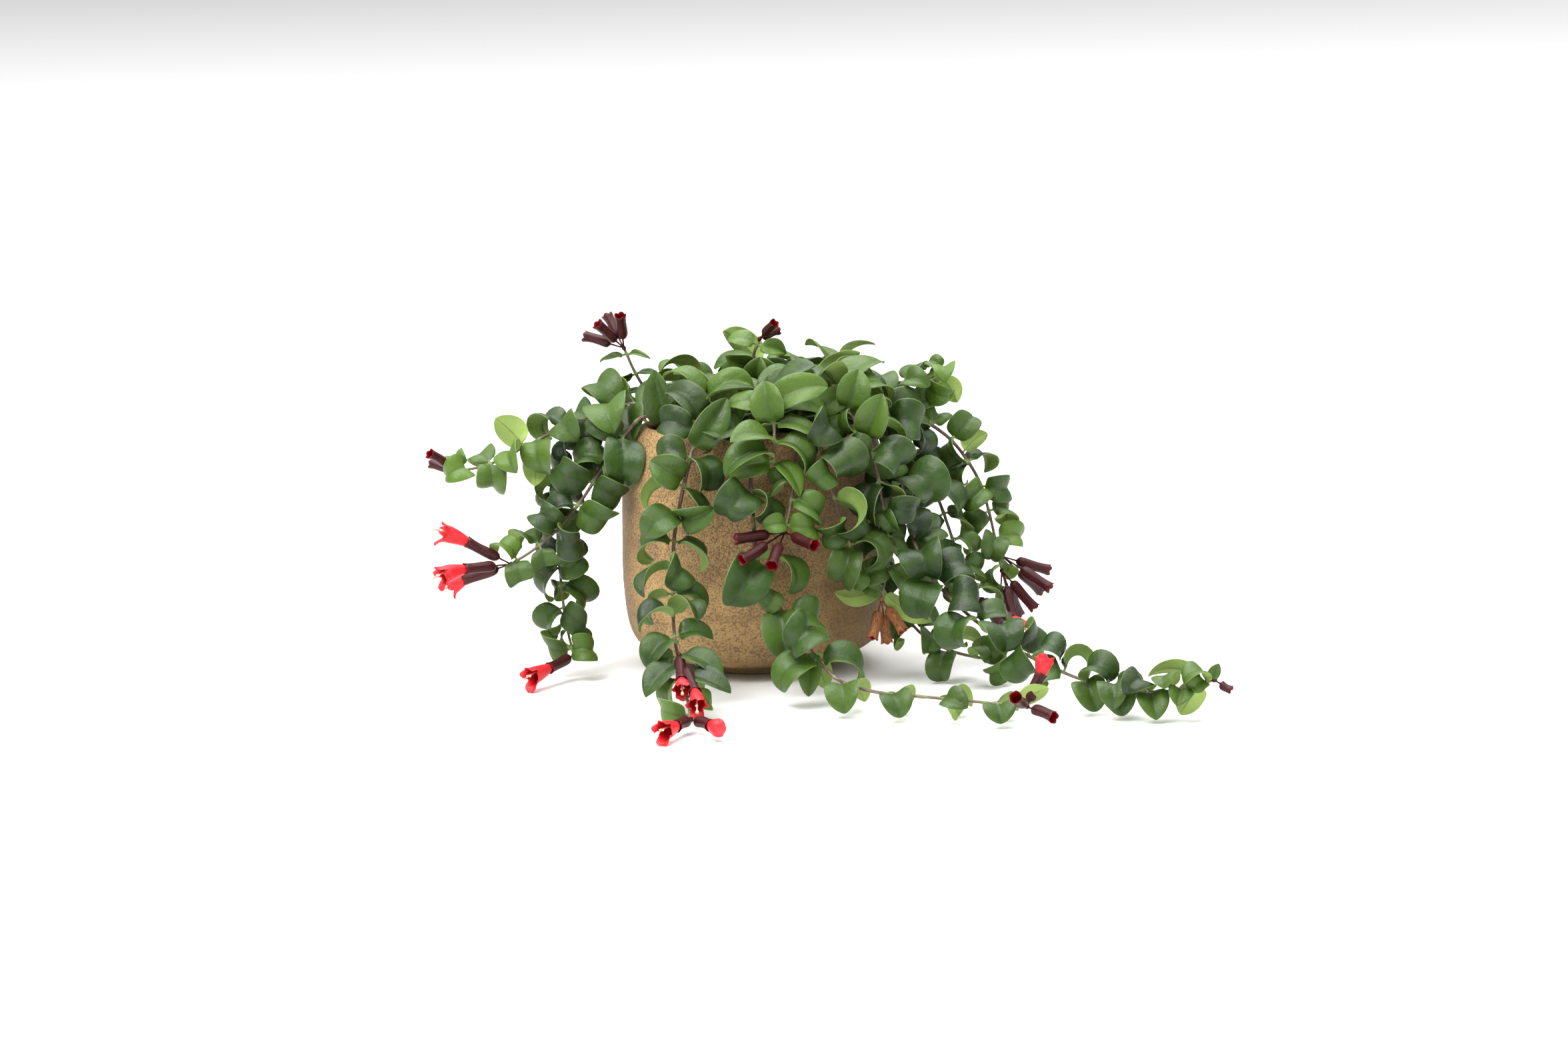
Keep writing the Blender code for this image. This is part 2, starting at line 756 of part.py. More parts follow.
def draw_leaf(rng, trail, stem, distance, side, number, attempt):
    """One way in which a leaf could leave the stem: later attempts are smaller and freer."""
    point, tangent, normal = stem.at(distance)
    age = distance / stem.length
    ease = attempt / ATTEMPTS
    length = trail.leaf + (trail.tip_leaf - trail.leaf) * max(0.0, age - 0.35) / 0.65
    length *= rng.uniform(0.92, 1.06) * (1 - 0.38 * ease)
    tilt = math.radians((32 if number % 2 else -4) + rng.uniform(-18, 18) * (1 + ease))
    lateral = normal.cross(tangent) * side
    out = lateral * math.cos(tilt) + normal * math.sin(tilt)
    out += tangent * rng.uniform(-0.3, 0.45) - UP * rng.uniform(0.0, 0.3)
    out.normalize()
    face = straight_cut(normal * 0.8 + UP * 0.5 + tangent * 0.15, out)
    face = Matrix.Rotation(math.radians(rng.uniform(-28, 28) * (1 + ease)), 3, out) @ face
    return Leaf(
        seat=point,
        out=out,
        face=face,
        length=length,
        width=length * rng.uniform(0.58, 0.7) * (1 - 0.15 * ease),
        reach=length * rng.uniform(0.18, 0.28),
        curl=math.radians(rng.uniform(*trail.curl)),
        fold=rng.uniform(0.12, 0.38),
        spiral=rng.uniform(-4, 4),
    )


def place_leaves(trail, stem, room):
    """The trail's leaves that fit, as (distance along the stem, side, leaf)."""
    rng = random.Random(trail.name)
    placed = []
    for number, distance in enumerate(stem.pairs):
        _, tangent, normal = stem.at(distance)
        for side in (-1, 1):
            lateral = normal.cross(tangent) * side
            stalk = stem.side(distance, LEAF_SIDES[side])
            for attempt in range(ATTEMPTS):
                leaf = draw_leaf(rng, trail, stem, distance, side, number, attempt)
                if not stands_aside(leaf, lateral) or not fits(leaf, stalk, trail, room):
                    continue
                clothed = [*placed, (distance, side, leaf)]
                if not grow_trail(stem, clothed).crosses_itself():
                    snug = leaf_skin(leaf, stalk)
                    room.add("leaves", snug.points, snug.faces)
                    placed = clothed
                    break
    return placed


def grow_trail(stem, placed):
    """The stem and its leaves as one surface: each leaf grows out of a side of the stem."""
    skin = Skin()
    ring = skin.ring(stem.ring(0))
    skin.cap(ring)
    for start, end in zip(stem.stations, stem.stations[1:]):
        leaves = [(side, leaf) for distance, side, leaf in placed if start < distance < end]
        following = skin.sleeve(ring, stem.ring(end), [LEAF_SIDES[side] for side, _ in leaves])
        for side, leaf in leaves:
            k = LEAF_SIDES[side]
            after = (k + 1) % 4
            stalk = [ring[k], ring[after], following[after], following[k]]
            skin.blade(stalk, leaf)
        ring = following
    skin.cap(ring)
    return skin


def bare_stem(stem):
    """The stem alone, to test where leaves fit."""
    skin = Skin()
    ring = skin.ring(stem.ring(0))
    for distance in stem.stations[1:]:
        ring = skin.sleeve(ring, stem.ring(distance))
    return skin


def solid_of(obj):
    """The points, in millimetres, and faces of an object as its modifiers leave it."""
    evaluated = obj.evaluated_get(bpy.context.evaluated_depsgraph_get())
    mesh = evaluated.to_mesh()
    points = [vertex.co / MM for vertex in mesh.vertices]
    faces = [tuple(polygon.vertices) for polygon in mesh.polygons]
    evaluated.to_mesh_clear()
    return points, faces


def clear_scene():
    for obj in list(bpy.data.objects):
        bpy.data.objects.remove(obj)


def main():
    clear_scene()
    materials = {name: make_material(name, *look) for name, look in MATERIALS.items()}
    pot = turned("pot", pot_profile(), materials["stoneware"])
    soil = turned("potting_soil", soil_profile(), materials["potting_soil"])
    room = Room()
    room.add("pot", *solid_of(pot))
    room.add("potting_soil", *solid_of(soil))
    stems = {trail.name: Stem(trail) for trail in TRAILS}
    for name, stem in stems.items():
        skin = bare_stem(stem)
        room.add(name, skin.points, skin.faces)
    for truss in TRUSSES:
        centre = hub_centre(truss, stems[truss.trail])
        mouths = [Vector(mouth) for mouth in truss.mouths]
        skins = [grow_hub(centre, stems[truss.trail].tangents[-1])]
        skins += [grow_calyx(centre, mouth, truss.calyx) for mouth in mouths]
        build_truss(truss, skins, materials["calyx"])
        for number, (calyx, length, bend) in enumerate(truss.flowers, 1):
            _, axis, _ = calyx_line(centre, mouths[calyx], truss.calyx)
            corolla = grow_corolla(mouths[calyx], axis, length, Vector(bend))
            skins.append(corolla)
            place = truss.name.split("_", 1)[1]
            corolla.build(f"corolla_{place}_{number}", materials["corolla"])
        for skin in skins:
            room.add(truss.name, skin.points, skin.faces)
    for trail in TRAILS:
        stem = stems[trail.name]
        placed = place_leaves(trail, stem, room)
        grow_trail(stem, placed).build(trail.name, materials["leaf"])


main()
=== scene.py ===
"""Potted trailing lipstick plant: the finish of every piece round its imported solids.

Lengths of the plant and the pot are in millimetres and become metres when a mesh is made. The pot stands at
the origin, +Z is up and the front of the plant faces -Y.
"""

from __future__ import annotations

import logging
import math
import random
from dataclasses import dataclass
from enum import Enum
from typing import Iterable, Iterator, Sequence

import bpy
import numpy as np
from mathutils import Matrix, Vector, noise
from mathutils.bvhtree import BVHTree

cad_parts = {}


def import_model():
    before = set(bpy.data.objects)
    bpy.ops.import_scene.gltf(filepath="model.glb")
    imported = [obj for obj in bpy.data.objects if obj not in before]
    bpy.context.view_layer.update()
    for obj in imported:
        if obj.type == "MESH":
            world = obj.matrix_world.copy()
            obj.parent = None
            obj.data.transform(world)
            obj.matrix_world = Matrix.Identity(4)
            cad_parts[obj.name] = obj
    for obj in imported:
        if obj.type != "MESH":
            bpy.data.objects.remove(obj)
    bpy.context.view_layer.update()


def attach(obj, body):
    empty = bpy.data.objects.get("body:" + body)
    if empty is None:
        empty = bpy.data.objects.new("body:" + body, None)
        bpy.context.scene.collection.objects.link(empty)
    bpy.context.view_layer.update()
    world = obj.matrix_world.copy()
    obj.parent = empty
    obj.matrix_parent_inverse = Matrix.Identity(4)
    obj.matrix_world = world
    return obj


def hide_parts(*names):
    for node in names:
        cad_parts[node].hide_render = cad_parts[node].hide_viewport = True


LOG = logging.getLogger("lipstick_plant")

MM = 0.001
UP = Vector((0, 0, 1))
BODY = "root"
LEAF_NUMBERS = ("across", "along", "upper", "youth", "tone")
FLOWER_NUMBERS = ("inner", "along", "turn")

Point = tuple[float, float, float]
Colour = tuple[float, float, float]
Outline = Sequence[tuple[float, float]]


# ---------------------------------------------------------------- nodes


class Value:
    """A number in a node tree: arithmetic on it adds Math nodes."""

    def __init__(self, nodes: Nodes, socket: bpy.types.NodeSocket) -> None:
        """Wraps an output socket of a node.

        Args:
            nodes: The tree that the socket belongs to.
            socket: The output socket.
        """
        self.nodes = nodes
        self.socket = socket

    def math(self, operation: str, *values: Value | float) -> Value:
        """Adds a Math node.

        Args:
            operation: Name of the Math operation.
            values: The node's inputs, in order.

        Returns:
            The node's result.
        """
        node = self.nodes.node("ShaderNodeMath", {"operation": operation}, dict(enumerate(values)))
        return Value(self.nodes, node.outputs[0])

    def __add__(self, other: Value | float) -> Value:
        """Sum."""
        return self.math("ADD", self, other)

    def __radd__(self, other: float) -> Value:
        """Sum, reflected."""
        return self.math("ADD", other, self)

    def __sub__(self, other: Value | float) -> Value:
        """Difference."""
        return self.math("SUBTRACT", self, other)

    def __rsub__(self, other: float) -> Value:
        """Difference, reflected."""
        return self.math("SUBTRACT", other, self)

    def __mul__(self, other: Value | float) -> Value:
        """Product."""
        return self.math("MULTIPLY", self, other)

    def __rmul__(self, other: float) -> Value:
        """Product, reflected."""
        return self.math("MULTIPLY", other, self)

    def clipped(self) -> Value:
        """The value held between 0 and 1."""
        return self.math("MINIMUM", self.math("MAXIMUM", self, 0.0), 1.0)

    def step(self, start: float, end: float) -> Value:
        """A smooth ramp of the value.

        Args:
            start: Where the ramp is 0.
            end: Where the ramp is 1.

        Returns:
            The ramp, from 0 to 1.
        """
        settings = {"interpolation_type": "SMOOTHSTEP"}
        inputs = {"Value": self, "From Min": start, "From Max": end}
        if start > end:
            inputs = {"Value": self, "From Min": end, "From Max": start, "To Min": 1.0, "To Max": 0.0}
        return Value(self.nodes, self.nodes.node("ShaderNodeMapRange", settings, inputs).outputs[0])


class Nodes:
    """A node tree while its nodes are being laid."""

    def __init__(self, tree: bpy.types.NodeTree) -> None:
        """Takes up a tree."""
        self.tree = tree

    def node(self, kind: str, settings: dict | None = None, inputs: dict | None = None) -> bpy.types.Node:
        """Adds any node.

        Args:
            kind: The node's type.
            settings: Its settings, set first.
            inputs: Its sockets by name or number, each with what feed takes.

        Returns:
            The new node.
        """
        node = self.tree.nodes.new(kind)
        for key, setting in (settings or {}).items():
            setattr(node, key, setting)
        for key, value in (inputs or {}).items():
            self.feed(node.inputs[key], value)
        return node

    def feed(self, socket: bpy.types.NodeSocket, value: object) -> None:
        """Links or sets a socket.

        Args:
            socket: The input socket.
            value: A Value, an output socket, a node for its first output, a colour or a number.
        """
        if isinstance(value, Value):
            value = value.socket
        if isinstance(value, bpy.types.Node):
            value = value.outputs[0]
        if isinstance(value, bpy.types.NodeSocket):
            self.tree.links.new(value, socket)
        elif isinstance(value, tuple) and socket.type == "RGBA":
            socket.default_value = (*value, 1.0)
        else:
            socket.default_value = value

    def parts(self, vector: bpy.types.NodeSocket | bpy.types.Node) -> list[Value]:
        """A vector's X, Y and Z."""
        return [Value(self, part) for part in self.node("ShaderNodeSeparateXYZ", {}, {0: vector}).outputs]


class Paint(Nodes):
    """A material while its nodes are being laid."""

    def __init__(self, name: str, **constants: float) -> None:
        """Starts a material with constants on its shader.

        Args:
            name: The material's name.
            constants: Values for the shader's own sockets, with _ for a space in their names.
        """
        self.material = bpy.data.materials.new(name)
        self.material.use_nodes = True
        super().__init__(self.material.node_tree)
        self.shader = next(node for node in self.tree.nodes if node.type == "BSDF_PRINCIPLED")
        for key, constant in constants.items():
            self.shader.inputs[key.replace("_", " ")].default_value = constant

    def stored(self, name: str) -> bpy.types.Node:
        """What is stored on the mesh under a name."""
        return self.node("ShaderNodeAttribute", {"attribute_name": name})

    def numbers(self, *names: str) -> list[Value]:
        """Numbers stored on the mesh under their names."""
        return [Value(self, self.stored(name).outputs["Fac"]) for name in names]

    def place(self) -> bpy.types.NodeSocket:
        """The point in the object's own coordinates, in metres."""
        return self.node("ShaderNodeTexCoord").outputs["Object"]

    def joined(self, *parts: Value | float) -> bpy.types.NodeSocket:
        """A vector made of its X, Y and Z."""
        return self.node("ShaderNodeCombineXYZ", {}, dict(enumerate(parts))).outputs[0]

    def noise(self, vector: bpy.types.NodeSocket, scale: float | Point, detail: float = 2.0,
              rough: float = 0.5) -> Value:
        """Cloudy noise round one half.

        Args:
            vector: Where to read it.
            scale: Clouds to each unit of the vector, the same all ways or along X, Y and Z.
            detail: How many finer layers are added.
            rough: How strong the finer layers are.

        Returns:
            The noise.
        """
        if isinstance(scale, tuple):
            vector = self.node("ShaderNodeVectorMath", {"operation": "MULTIPLY"}, {0: vector, 1: scale})
            scale = 1.0
        inputs = {"Vector": vector, "Scale": scale, "Detail": detail, "Roughness": rough}
        return Value(self, self.node("ShaderNodeTexNoise", {}, inputs).outputs[0])

    def mix(self, factor: Value | float, first: object, second: object) -> bpy.types.NodeSocket:
        """A colour between two others.

        Args:
            factor: 0 for the first and 1 for the second.
            first: Colour or socket.
            second: Colour or socket.

        Returns:
            The mixed colour.
        """
        return self.node("ShaderNodeMix", {"data_type": "RGBA"}, {0: factor, 6: first, 7: second}).outputs[2]

    def bumped(self, height: Value, distance: float, strength: float = 1.0) -> None:
        """Raises the surface.

        Args:
            height: The height, from 0 to 1.
            distance: What a height of 1 stands for, in metres.
            strength: How much of the bump shows.
        """
        inputs = {"Height": height, "Distance": distance, "Strength": strength}
        self.feed(self.shader.inputs["Normal"], self.node("ShaderNodeBump", {}, inputs))

    def finish(self, colour: object, roughness: Value | float) -> bpy.types.Material:
        """Feeds the shader.

        Args:
            colour: Base colour, as a colour or a socket.
            roughness: The roughness.

        Returns:
            The finished material.
        """
        self.feed(self.shader.inputs["Base Color"], colour)
        self.feed(self.shader.inputs["Roughness"], roughness)
        return self.material


# ---------------------------------------------------------------- finishes


@dataclass(frozen=True)
class Stoneware:
    """Matt golden-ochre clay with worm-like iron marks, browner low down, with painted shade that darkens its
    right side.

    Scales count a noise's clouds in a metre, foot_top and low are heights, and relief is a depth in metres.
    """

    pale: Colour = (0.425, 0.266, 0.1)
    ochre: Colour = (0.35, 0.211, 0.076)
    brown: Colour = (0.122, 0.067, 0.034)
    umber: Colour = (0.08, 0.048, 0.024)
    # Painted shade colour for the pot's right side.
    right_side_shade: Colour = (0.15, 0.087, 0.03)
    foot: Colour = (0.26, 0.185, 0.08)
    foot_top: float = 0.0066
    low: float = 0.11
    cloud_scale: float = 34.0
    ring_scale: Point = (18.0, 18.0, 120.0)
    grain_scale: float = 1000.0
    fine_worm_scale: float = 700.0
    broad_worm_scale: Point = (470.0, 470.0, 681.5)
    relief: float = 0.0009

    def material(self) -> bpy.types.Material:
        """Lays the nodes.

        Returns:
            The material.
        """
        paint = Paint("stoneware")
        place = paint.place()
        sideways, _, height = paint.parts(place)
        clouds = paint.noise(place, self.cloud_scale, 3.0)
        rings = paint.noise(place, self.ring_scale, 3.0)
        grain = paint.noise(place, self.grain_scale, 2.0, 0.6)
        fine = paint.noise(place, self.fine_worm_scale, 4.0, 0.72)
        broad = paint.noise(place, self.broad_worm_scale, 4.0, 0.7)
        lowness = height.step(self.low, 0.01)
        worms = fine * (1 - lowness) + broad * lowness
        patch = (worms + clouds * 0.2).step(0.6, 0.645)
        clay = paint.mix((clouds + rings - 0.55).step(0.2, 0.75), self.pale, self.ochre)
        clay = paint.mix(patch * 0.8, clay, self.brown)
        clay = paint.mix(lowness * clouds.step(0.3, 0.62) * 0.2, clay, self.brown)
        # Painted shade: the right side, towards +X, is darkened towards brown where the pot stands in shade.
        clay = paint.mix((sideways + clouds * 0.03).step(0.02, 0.085) * 0.5, clay, self.right_side_shade)
        clay = paint.mix(grain.step(0.5, 0.64) * (0.85 - lowness * 0.45), clay, self.umber)
        clay = paint.mix(height.step(self.foot_top + 0.0012, self.foot_top - 0.0004), clay, self.foot)
        paint.bumped(grain * 0.35 + worms * 0.45 + rings * 0.2, self.relief, 0.55)
        return paint.finish(clay, 0.78 - patch * 0.12)


@dataclass(frozen=True)
class PottingSoil:
    """Dark crumbs of moist potting mix."""

    dark: Colour = (0.012, 0.008, 0.005)
    light: Colour = (0.06, 0.036, 0.02)
    clod_scale: float = 260.0
    crumb_scale: float = 900.0
    relief: float = 0.0008

    def material(self) -> bpy.types.Material:
        """Lays the nodes.

        Returns:
            The material.
        """
        paint = Paint("potting_soil")
        place = paint.place()
        clods = paint.noise(place, self.clod_scale, 4.0)
        paint.bumped(paint.noise(place, self.crumb_scale, 3.0), self.relief)
        return paint.finish(paint.mix(clods.step(0.35, 0.65), self.dark, self.light), 0.92)


@dataclass(frozen=True)
class Foliage:
    """Waxy leaves: dark satin above with painted shade along the midrib's groove, matt lime below with a
    green midrib, and a pale margin and stalk.
    """

    dark: Colour = (0.01, 0.025, 0.0045)
    green: Colour = (0.027, 0.063, 0.006)
    young: Colour = (0.084, 0.158, 0.016)
    under: Colour = (0.12, 0.2, 0.04)
    under_young: Colour = (0.29, 0.4, 0.1)
    margin: Colour = (0.17, 0.235, 0.1)
    stalk: Colour = (0.17, 0.24, 0.08)
    cloud_scale: float = 75.0
    pore_scale: float = 1100.0
    dent_scale: float = 170.0
    wrinkle_scale: Point = (4.5, 44.0, 40.0)
    relief: float = 0.0014

    def material(self) -> bpy.types.Material:
        """Lays the nodes.

        Returns:
            The material.
        """
        paint = Paint("leaf", Specular_IOR_Level=0.34)
        place = paint.place()
        across, along, upper, youth, tone = paint.numbers(*LEAF_NUMBERS)
        clouds = paint.noise(place, self.cloud_scale)
        above = paint.mix((clouds * 1.1 + tone * 0.8 - 0.45).step(0.1, 0.9), self.dark, self.green)
        above = paint.mix((youth * 0.9 + clouds * 0.25 - 0.12).clipped(), above, self.young)
        # Painted shade: the upper side darkens in the groove along the midrib.
        above = paint.mix(across.step(0.22, 0.0) * 0.3, above, self.dark)
        above = paint.mix(across.step(0.95, 1.0) * 0.6, above, self.margin)
        below = paint.mix((youth * 0.8 + clouds * 0.5 - 0.1).clipped(), self.under, self.under_young)
        below = paint.mix(across.step(0.055, 0.01) * 0.55, below, self.green)
        skin = paint.mix(upper.step(0.35, 0.65), below, above)
        skin = paint.mix(along.step(0.13, 0.06), skin, self.stalk)
        wrinkles = paint.noise(paint.joined(across, along, tone), self.wrinkle_scale)
        pores = paint.noise(place, self.pore_scale)
        dents = paint.noise(place, self.dent_scale)
        paint.bumped(wrinkles * across.step(0.98, 0.2) * 0.25 + pores * 0.12 + dents, self.relief, 0.5)
        return paint.finish(skin, 0.31 + clouds * 0.26 + (1 - upper) * 0.28)


@dataclass(frozen=True)
class Bark:
    """Purplish-brown stem with pale streaks and pale green nodes."""

    brown: Colour = (0.072, 0.029, 0.028)
    pale: Colour = (0.24, 0.17, 0.12)
    green: Colour = (0.16, 0.22, 0.07)
    streak_scale: Point = (2.6, 2.6, 130.0)
    relief: float = 0.0004

    def material(self) -> bpy.types.Material:
        """Lays the nodes.

        Returns:
            The material.
        """
        paint = Paint("stem")
        run, node, tip = paint.numbers("run", "node", "tip")
        around, across, _ = paint.parts(paint.stored("round").outputs["Vector"])
        streaks = paint.noise(paint.joined(around, across, run), self.streak_scale, 3.0, 0.6)
        bark = paint.mix(streaks.step(0.49, 0.66), self.brown, self.pale)
        greened = (node * 0.7 + tip.step(0.55, 1.3) * 0.6).clipped()
        paint.bumped(streaks, self.relief, 0.8)
        return paint.finish(paint.mix(greened, bark, self.green), 0.55)


class Ripeness(Enum):
    """How far a truss of calyces has coloured."""

    RIPE = "ripe"
    YOUNG = "young"


@dataclass(frozen=True)
class CalyxSkin:
    """Downy dark maroon cup, deep glossy red inside, or yellow-brown while it is young."""

    ripeness: Ripeness
    maroon: Colour = (0.052, 0.0045, 0.0055)
    plum: Colour = (0.026, 0.003, 0.004)
    red: Colour = (0.16, 0.01, 0.012)
    inside: Colour = (0.2, 0.001, 0.003)
    straw: Colour = (0.3, 0.15, 0.045)
    rib_scale: Point = (9.0, 6.0, 1.0)
    down_scale: float = 2200.0
    relief: float = 0.00035

    def material(self) -> bpy.types.Material:
        """Lays the nodes.

        Returns:
            The material.
        """
        paint = Paint(f"calyx_{self.ripeness.value}", Specular_IOR_Level=0.25)
        inner, along, turn = paint.numbers(*FLOWER_NUMBERS)
        ribs = paint.noise(paint.joined(turn, along), self.rib_scale)
        base, ribbed = (self.straw, self.red) if self.ripeness is Ripeness.YOUNG else (self.maroon, self.plum)
        skin = paint.mix(ribs.step(0.35, 0.7), base, ribbed)
        skin = paint.mix(along.step(0.85, 1.02) * 0.2, skin, self.red)
        down = paint.noise(paint.place(), self.down_scale, 1.0)
        paint.bumped(ribs * 0.5 + down * 0.5, self.relief, 0.6)
        return paint.finish(paint.mix(inner, skin, self.inside), 0.42 - inner * 0.22)


@dataclass(frozen=True)
class Petal:
    """Scarlet petal, paler at its lip, with maroon streaks in its throat and painted shade that darkens the
    throat to deep red further in.
    """

    scarlet: Colour = (0.62, 0.008, 0.018)
    coral: Colour = (0.72, 0.042, 0.048)
    # Painted shade colour for inside the throat.
    deep: Colour = (0.4, 0.004, 0.012)
    streak: Colour = (0.16, 0.003, 0.006)
    cloud_scale: float = 260.0
    streak_scale: Point = (34.0, 2.0, 1.0)
    relief: float = 0.0004

    def material(self) -> bpy.types.Material:
        """Lays the nodes.

        Returns:
            The material.
        """
        paint = Paint("corolla", Specular_IOR_Level=0.35)
        inner, along, turn = paint.numbers(*FLOWER_NUMBERS)
        clouds = paint.noise(paint.place(), self.cloud_scale, 3.0)
        paled = (clouds.step(0.35, 0.7) * 0.5 + along.step(0.75, 1.05) * 0.4).clipped()
        streaks = paint.noise(paint.joined(turn, along), self.streak_scale, 1.0)
        throat = inner * along.step(0.98, 0.6)
        skin = paint.mix(paled, self.scarlet, self.coral)
        # Painted shade: the throat darkens to deep red the further in it goes.
        skin = paint.mix(throat * 0.45, skin, self.deep)
        skin = paint.mix(throat * streaks.step(0.52, 0.62) * 0.4, skin, self.streak)
        paint.bumped(streaks * 0.6 + clouds * 0.4, self.relief, 0.5)
        return paint.finish(skin, 0.38)


@dataclass(frozen=True)
class Thread:
    """Pale pink thread of a stamen or style, with a cream head."""

    pink: Colour = (0.8, 0.27, 0.22)
    cream: Colour = (0.85, 0.72, 0.5)
    cloud_scale: float = 1200.0

    def material(self) -> bpy.types.Material:
        """Lays the nodes.

        Returns:
            The material.
        """
        paint = Paint("stamen")
        head = paint.numbers("along")[0].step(0.86, 0.93)
        clouds = paint.noise(paint.place(), self.cloud_scale)
        return paint.finish(paint.mix((head + clouds * 0.2 - 0.1).clipped(), self.pink, self.cream), 0.4)


@dataclass(frozen=True)
class WhiteSurface:
    """Matt white surface, almost even."""

    dull: Colour = (0.92, 0.92, 0.92)
    bright: Colour = (0.94, 0.94, 0.94)
    cloud_scale: float = 3.0
    grain_scale: float = 260.0
    relief: float = 0.0002

    def material(self) -> bpy.types.Material:
        """Lays the nodes.

        Returns:
            The material.
        """
        paint = Paint("white_surface")
        place = paint.place()
        paint.bumped(paint.noise(place, self.grain_scale), self.relief, 0.3)
        return paint.finish(paint.mix(paint.noise(place, self.cloud_scale), self.dull, self.bright), 0.75)


# ---------------------------------------------------------------- making meshes


def metres(points: np.ndarray) -> np.ndarray:
    """Millimetres as metres."""
    return np.asarray(points, dtype=np.float64) * MM


def circle(around: int) -> np.ndarray:
    """Angles of evenly spaced points round a circle."""
    return np.linspace(0, 2 * math.pi, around, endpoint=False)


class Mould:
    """Collects lofted shapes, with numbers on their points, and turns them into one piece."""

    def __init__(self, *numbers: str) -> None:
        """Starts an empty mould.

        Args:
            numbers: Names of the numbers that each point carries.
        """
        self.points: list[np.ndarray] = []
        self.numbers: dict[str, list[np.ndarray]] = {name: [] for name in numbers}
        self.quads: list[np.ndarray] = []
        self.triangles: list[np.ndarray] = []
        self.count = 0

    def loft(self, rings: np.ndarray, **numbers: np.ndarray) -> None:
        """Joins rings into a tube and closes both ends at their middles.

        Args:
            rings: Points by ring and by place in the ring, in millimetres.
            numbers: A value for each point, or for each ring.
        """
        many, around = rings.shape[:2]
        first, last = rings[0].mean(axis=0), rings[-1].mean(axis=0)
        self.points.append(np.concatenate([rings.reshape(-1, 3), [first, last]]))
        for name, store in self.numbers.items():
            given = np.asarray(numbers.get(name, 0.0), dtype=np.float64)
            if given.ndim == 1:
                given = given[:, None]
            spread = np.broadcast_to(given, (many, around))
            store.append(np.concatenate([spread.reshape(-1), [spread[0].mean(), spread[-1].mean()]]))
        grid = np.arange(many * around).reshape(many, around) + self.count
        turned = np.roll(grid, -1, axis=1)
        self.quads.append(np.stack([grid[:-1], turned[:-1], turned[1:], grid[1:]], axis=-1).reshape(-1, 4))
        foot, head = self.count + many * around, self.count + many * around + 1
        below = np.stack([turned[0], grid[0], np.full(around, foot)], axis=-1)
        above = np.stack([grid[-1], turned[-1], np.full(around, head)], axis=-1)
        self.triangles.append(np.concatenate([below, above]))
        self.count += many * around + 2

    def cast(self, name: str, material: bpy.types.Material) -> bpy.types.Object:
        """Makes the piece.

        Args:
            name: The piece's name.
            material: Its finish.

        Returns:
            The new object, smooth shaded, at the origin.
        """
        quads = np.concatenate(self.quads)
        triangles = np.concatenate(self.triangles)
        mesh = bpy.data.meshes.new(name)
        mesh.vertices.add(self.count)
        mesh.vertices.foreach_set("co", metres(np.concatenate(self.points)).astype(np.float32).ravel())
        mesh.loops.add(quads.size + triangles.size)
        around = np.concatenate([quads.ravel(), triangles.ravel()]).astype(np.int32)
        mesh.loops.foreach_set("vertex_index", around)
        mesh.polygons.add(len(quads) + len(triangles))
        starts = np.concatenate([np.arange(len(quads)) * 4, quads.size + np.arange(len(triangles)) * 3])
        mesh.polygons.foreach_set("loop_start", starts.astype(np.int32))
        mesh.update(calc_edges=True)
        for key, stored in self.numbers.items():
            attribute = mesh.attributes.new(key, "FLOAT", "POINT")
            attribute.data.foreach_set("value", np.concatenate(stored).astype(np.float32))
        mesh.shade_smooth()
        mesh.validate()
        return new_piece(name, mesh, material)


def linked(name: str, data: bpy.types.ID) -> bpy.types.Object:
    """Links something new into the scene.

    Args:
        name: Its name.
        data: Its mesh, lamp or camera.

    Returns:
        The new object.
    """
    made = bpy.data.objects.new(name, data)
    bpy.context.scene.collection.objects.link(made)
    return made


def new_piece(name: str, mesh: bpy.types.Mesh, material: bpy.types.Material) -> bpy.types.Object:
    """Links a mesh into the scene as a piece.

    Args:
        name: The piece's name.
        mesh: Its mesh, in place.
        material: Its finish.

    Returns:
        The new object.
    """
    mesh.materials.clear()
    mesh.materials.append(material)
    return linked(name, mesh)


def settle(piece: bpy.types.Object, nodes: Iterable[str] = ()) -> bpy.types.Object:
    """Ties a piece to the frame and reports it.

    Args:
        piece: The finished piece.
        nodes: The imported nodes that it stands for.

    Returns:
        The piece.
    """
    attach(piece, BODY)
    for node in nodes:
        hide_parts(node)
    LOG.info("%s: %d faces", piece.name, len(piece.data.polygons))
    return piece


def smooth_points(points: Sequence[Point], step: float) -> list[Vector]:
    """Points about step apart on a Catmull-Rom curve.

    Args:
        points: The points that the curve runs through.
        step: The distance between the new points.

    Returns:
        The new points.
    """
    knots = [Vector(point) for point in points]
    knots = [knots[0] * 2 - knots[1], *knots, knots[-1] * 2 - knots[-2]]
    found = [knots[1]]
    for a, b, c, d in zip(knots, knots[1:], knots[2:], knots[3:]):
        count = max(2, round((c - b).length / step))
        for i in range(1, count + 1):
            t = i / count
            bend = (2 * a - 5 * b + 4 * c - d) * t**2 + (3 * b - 3 * c + d - a) * t**3
            found.append(0.5 * (2 * b + (c - a) * t + bend))
    return found


def straight_cut(vector: Vector, axis: Vector) -> Vector:
    """The unit part of a vector that is square to an axis."""
    return (vector - axis * vector.dot(axis)).normalized()


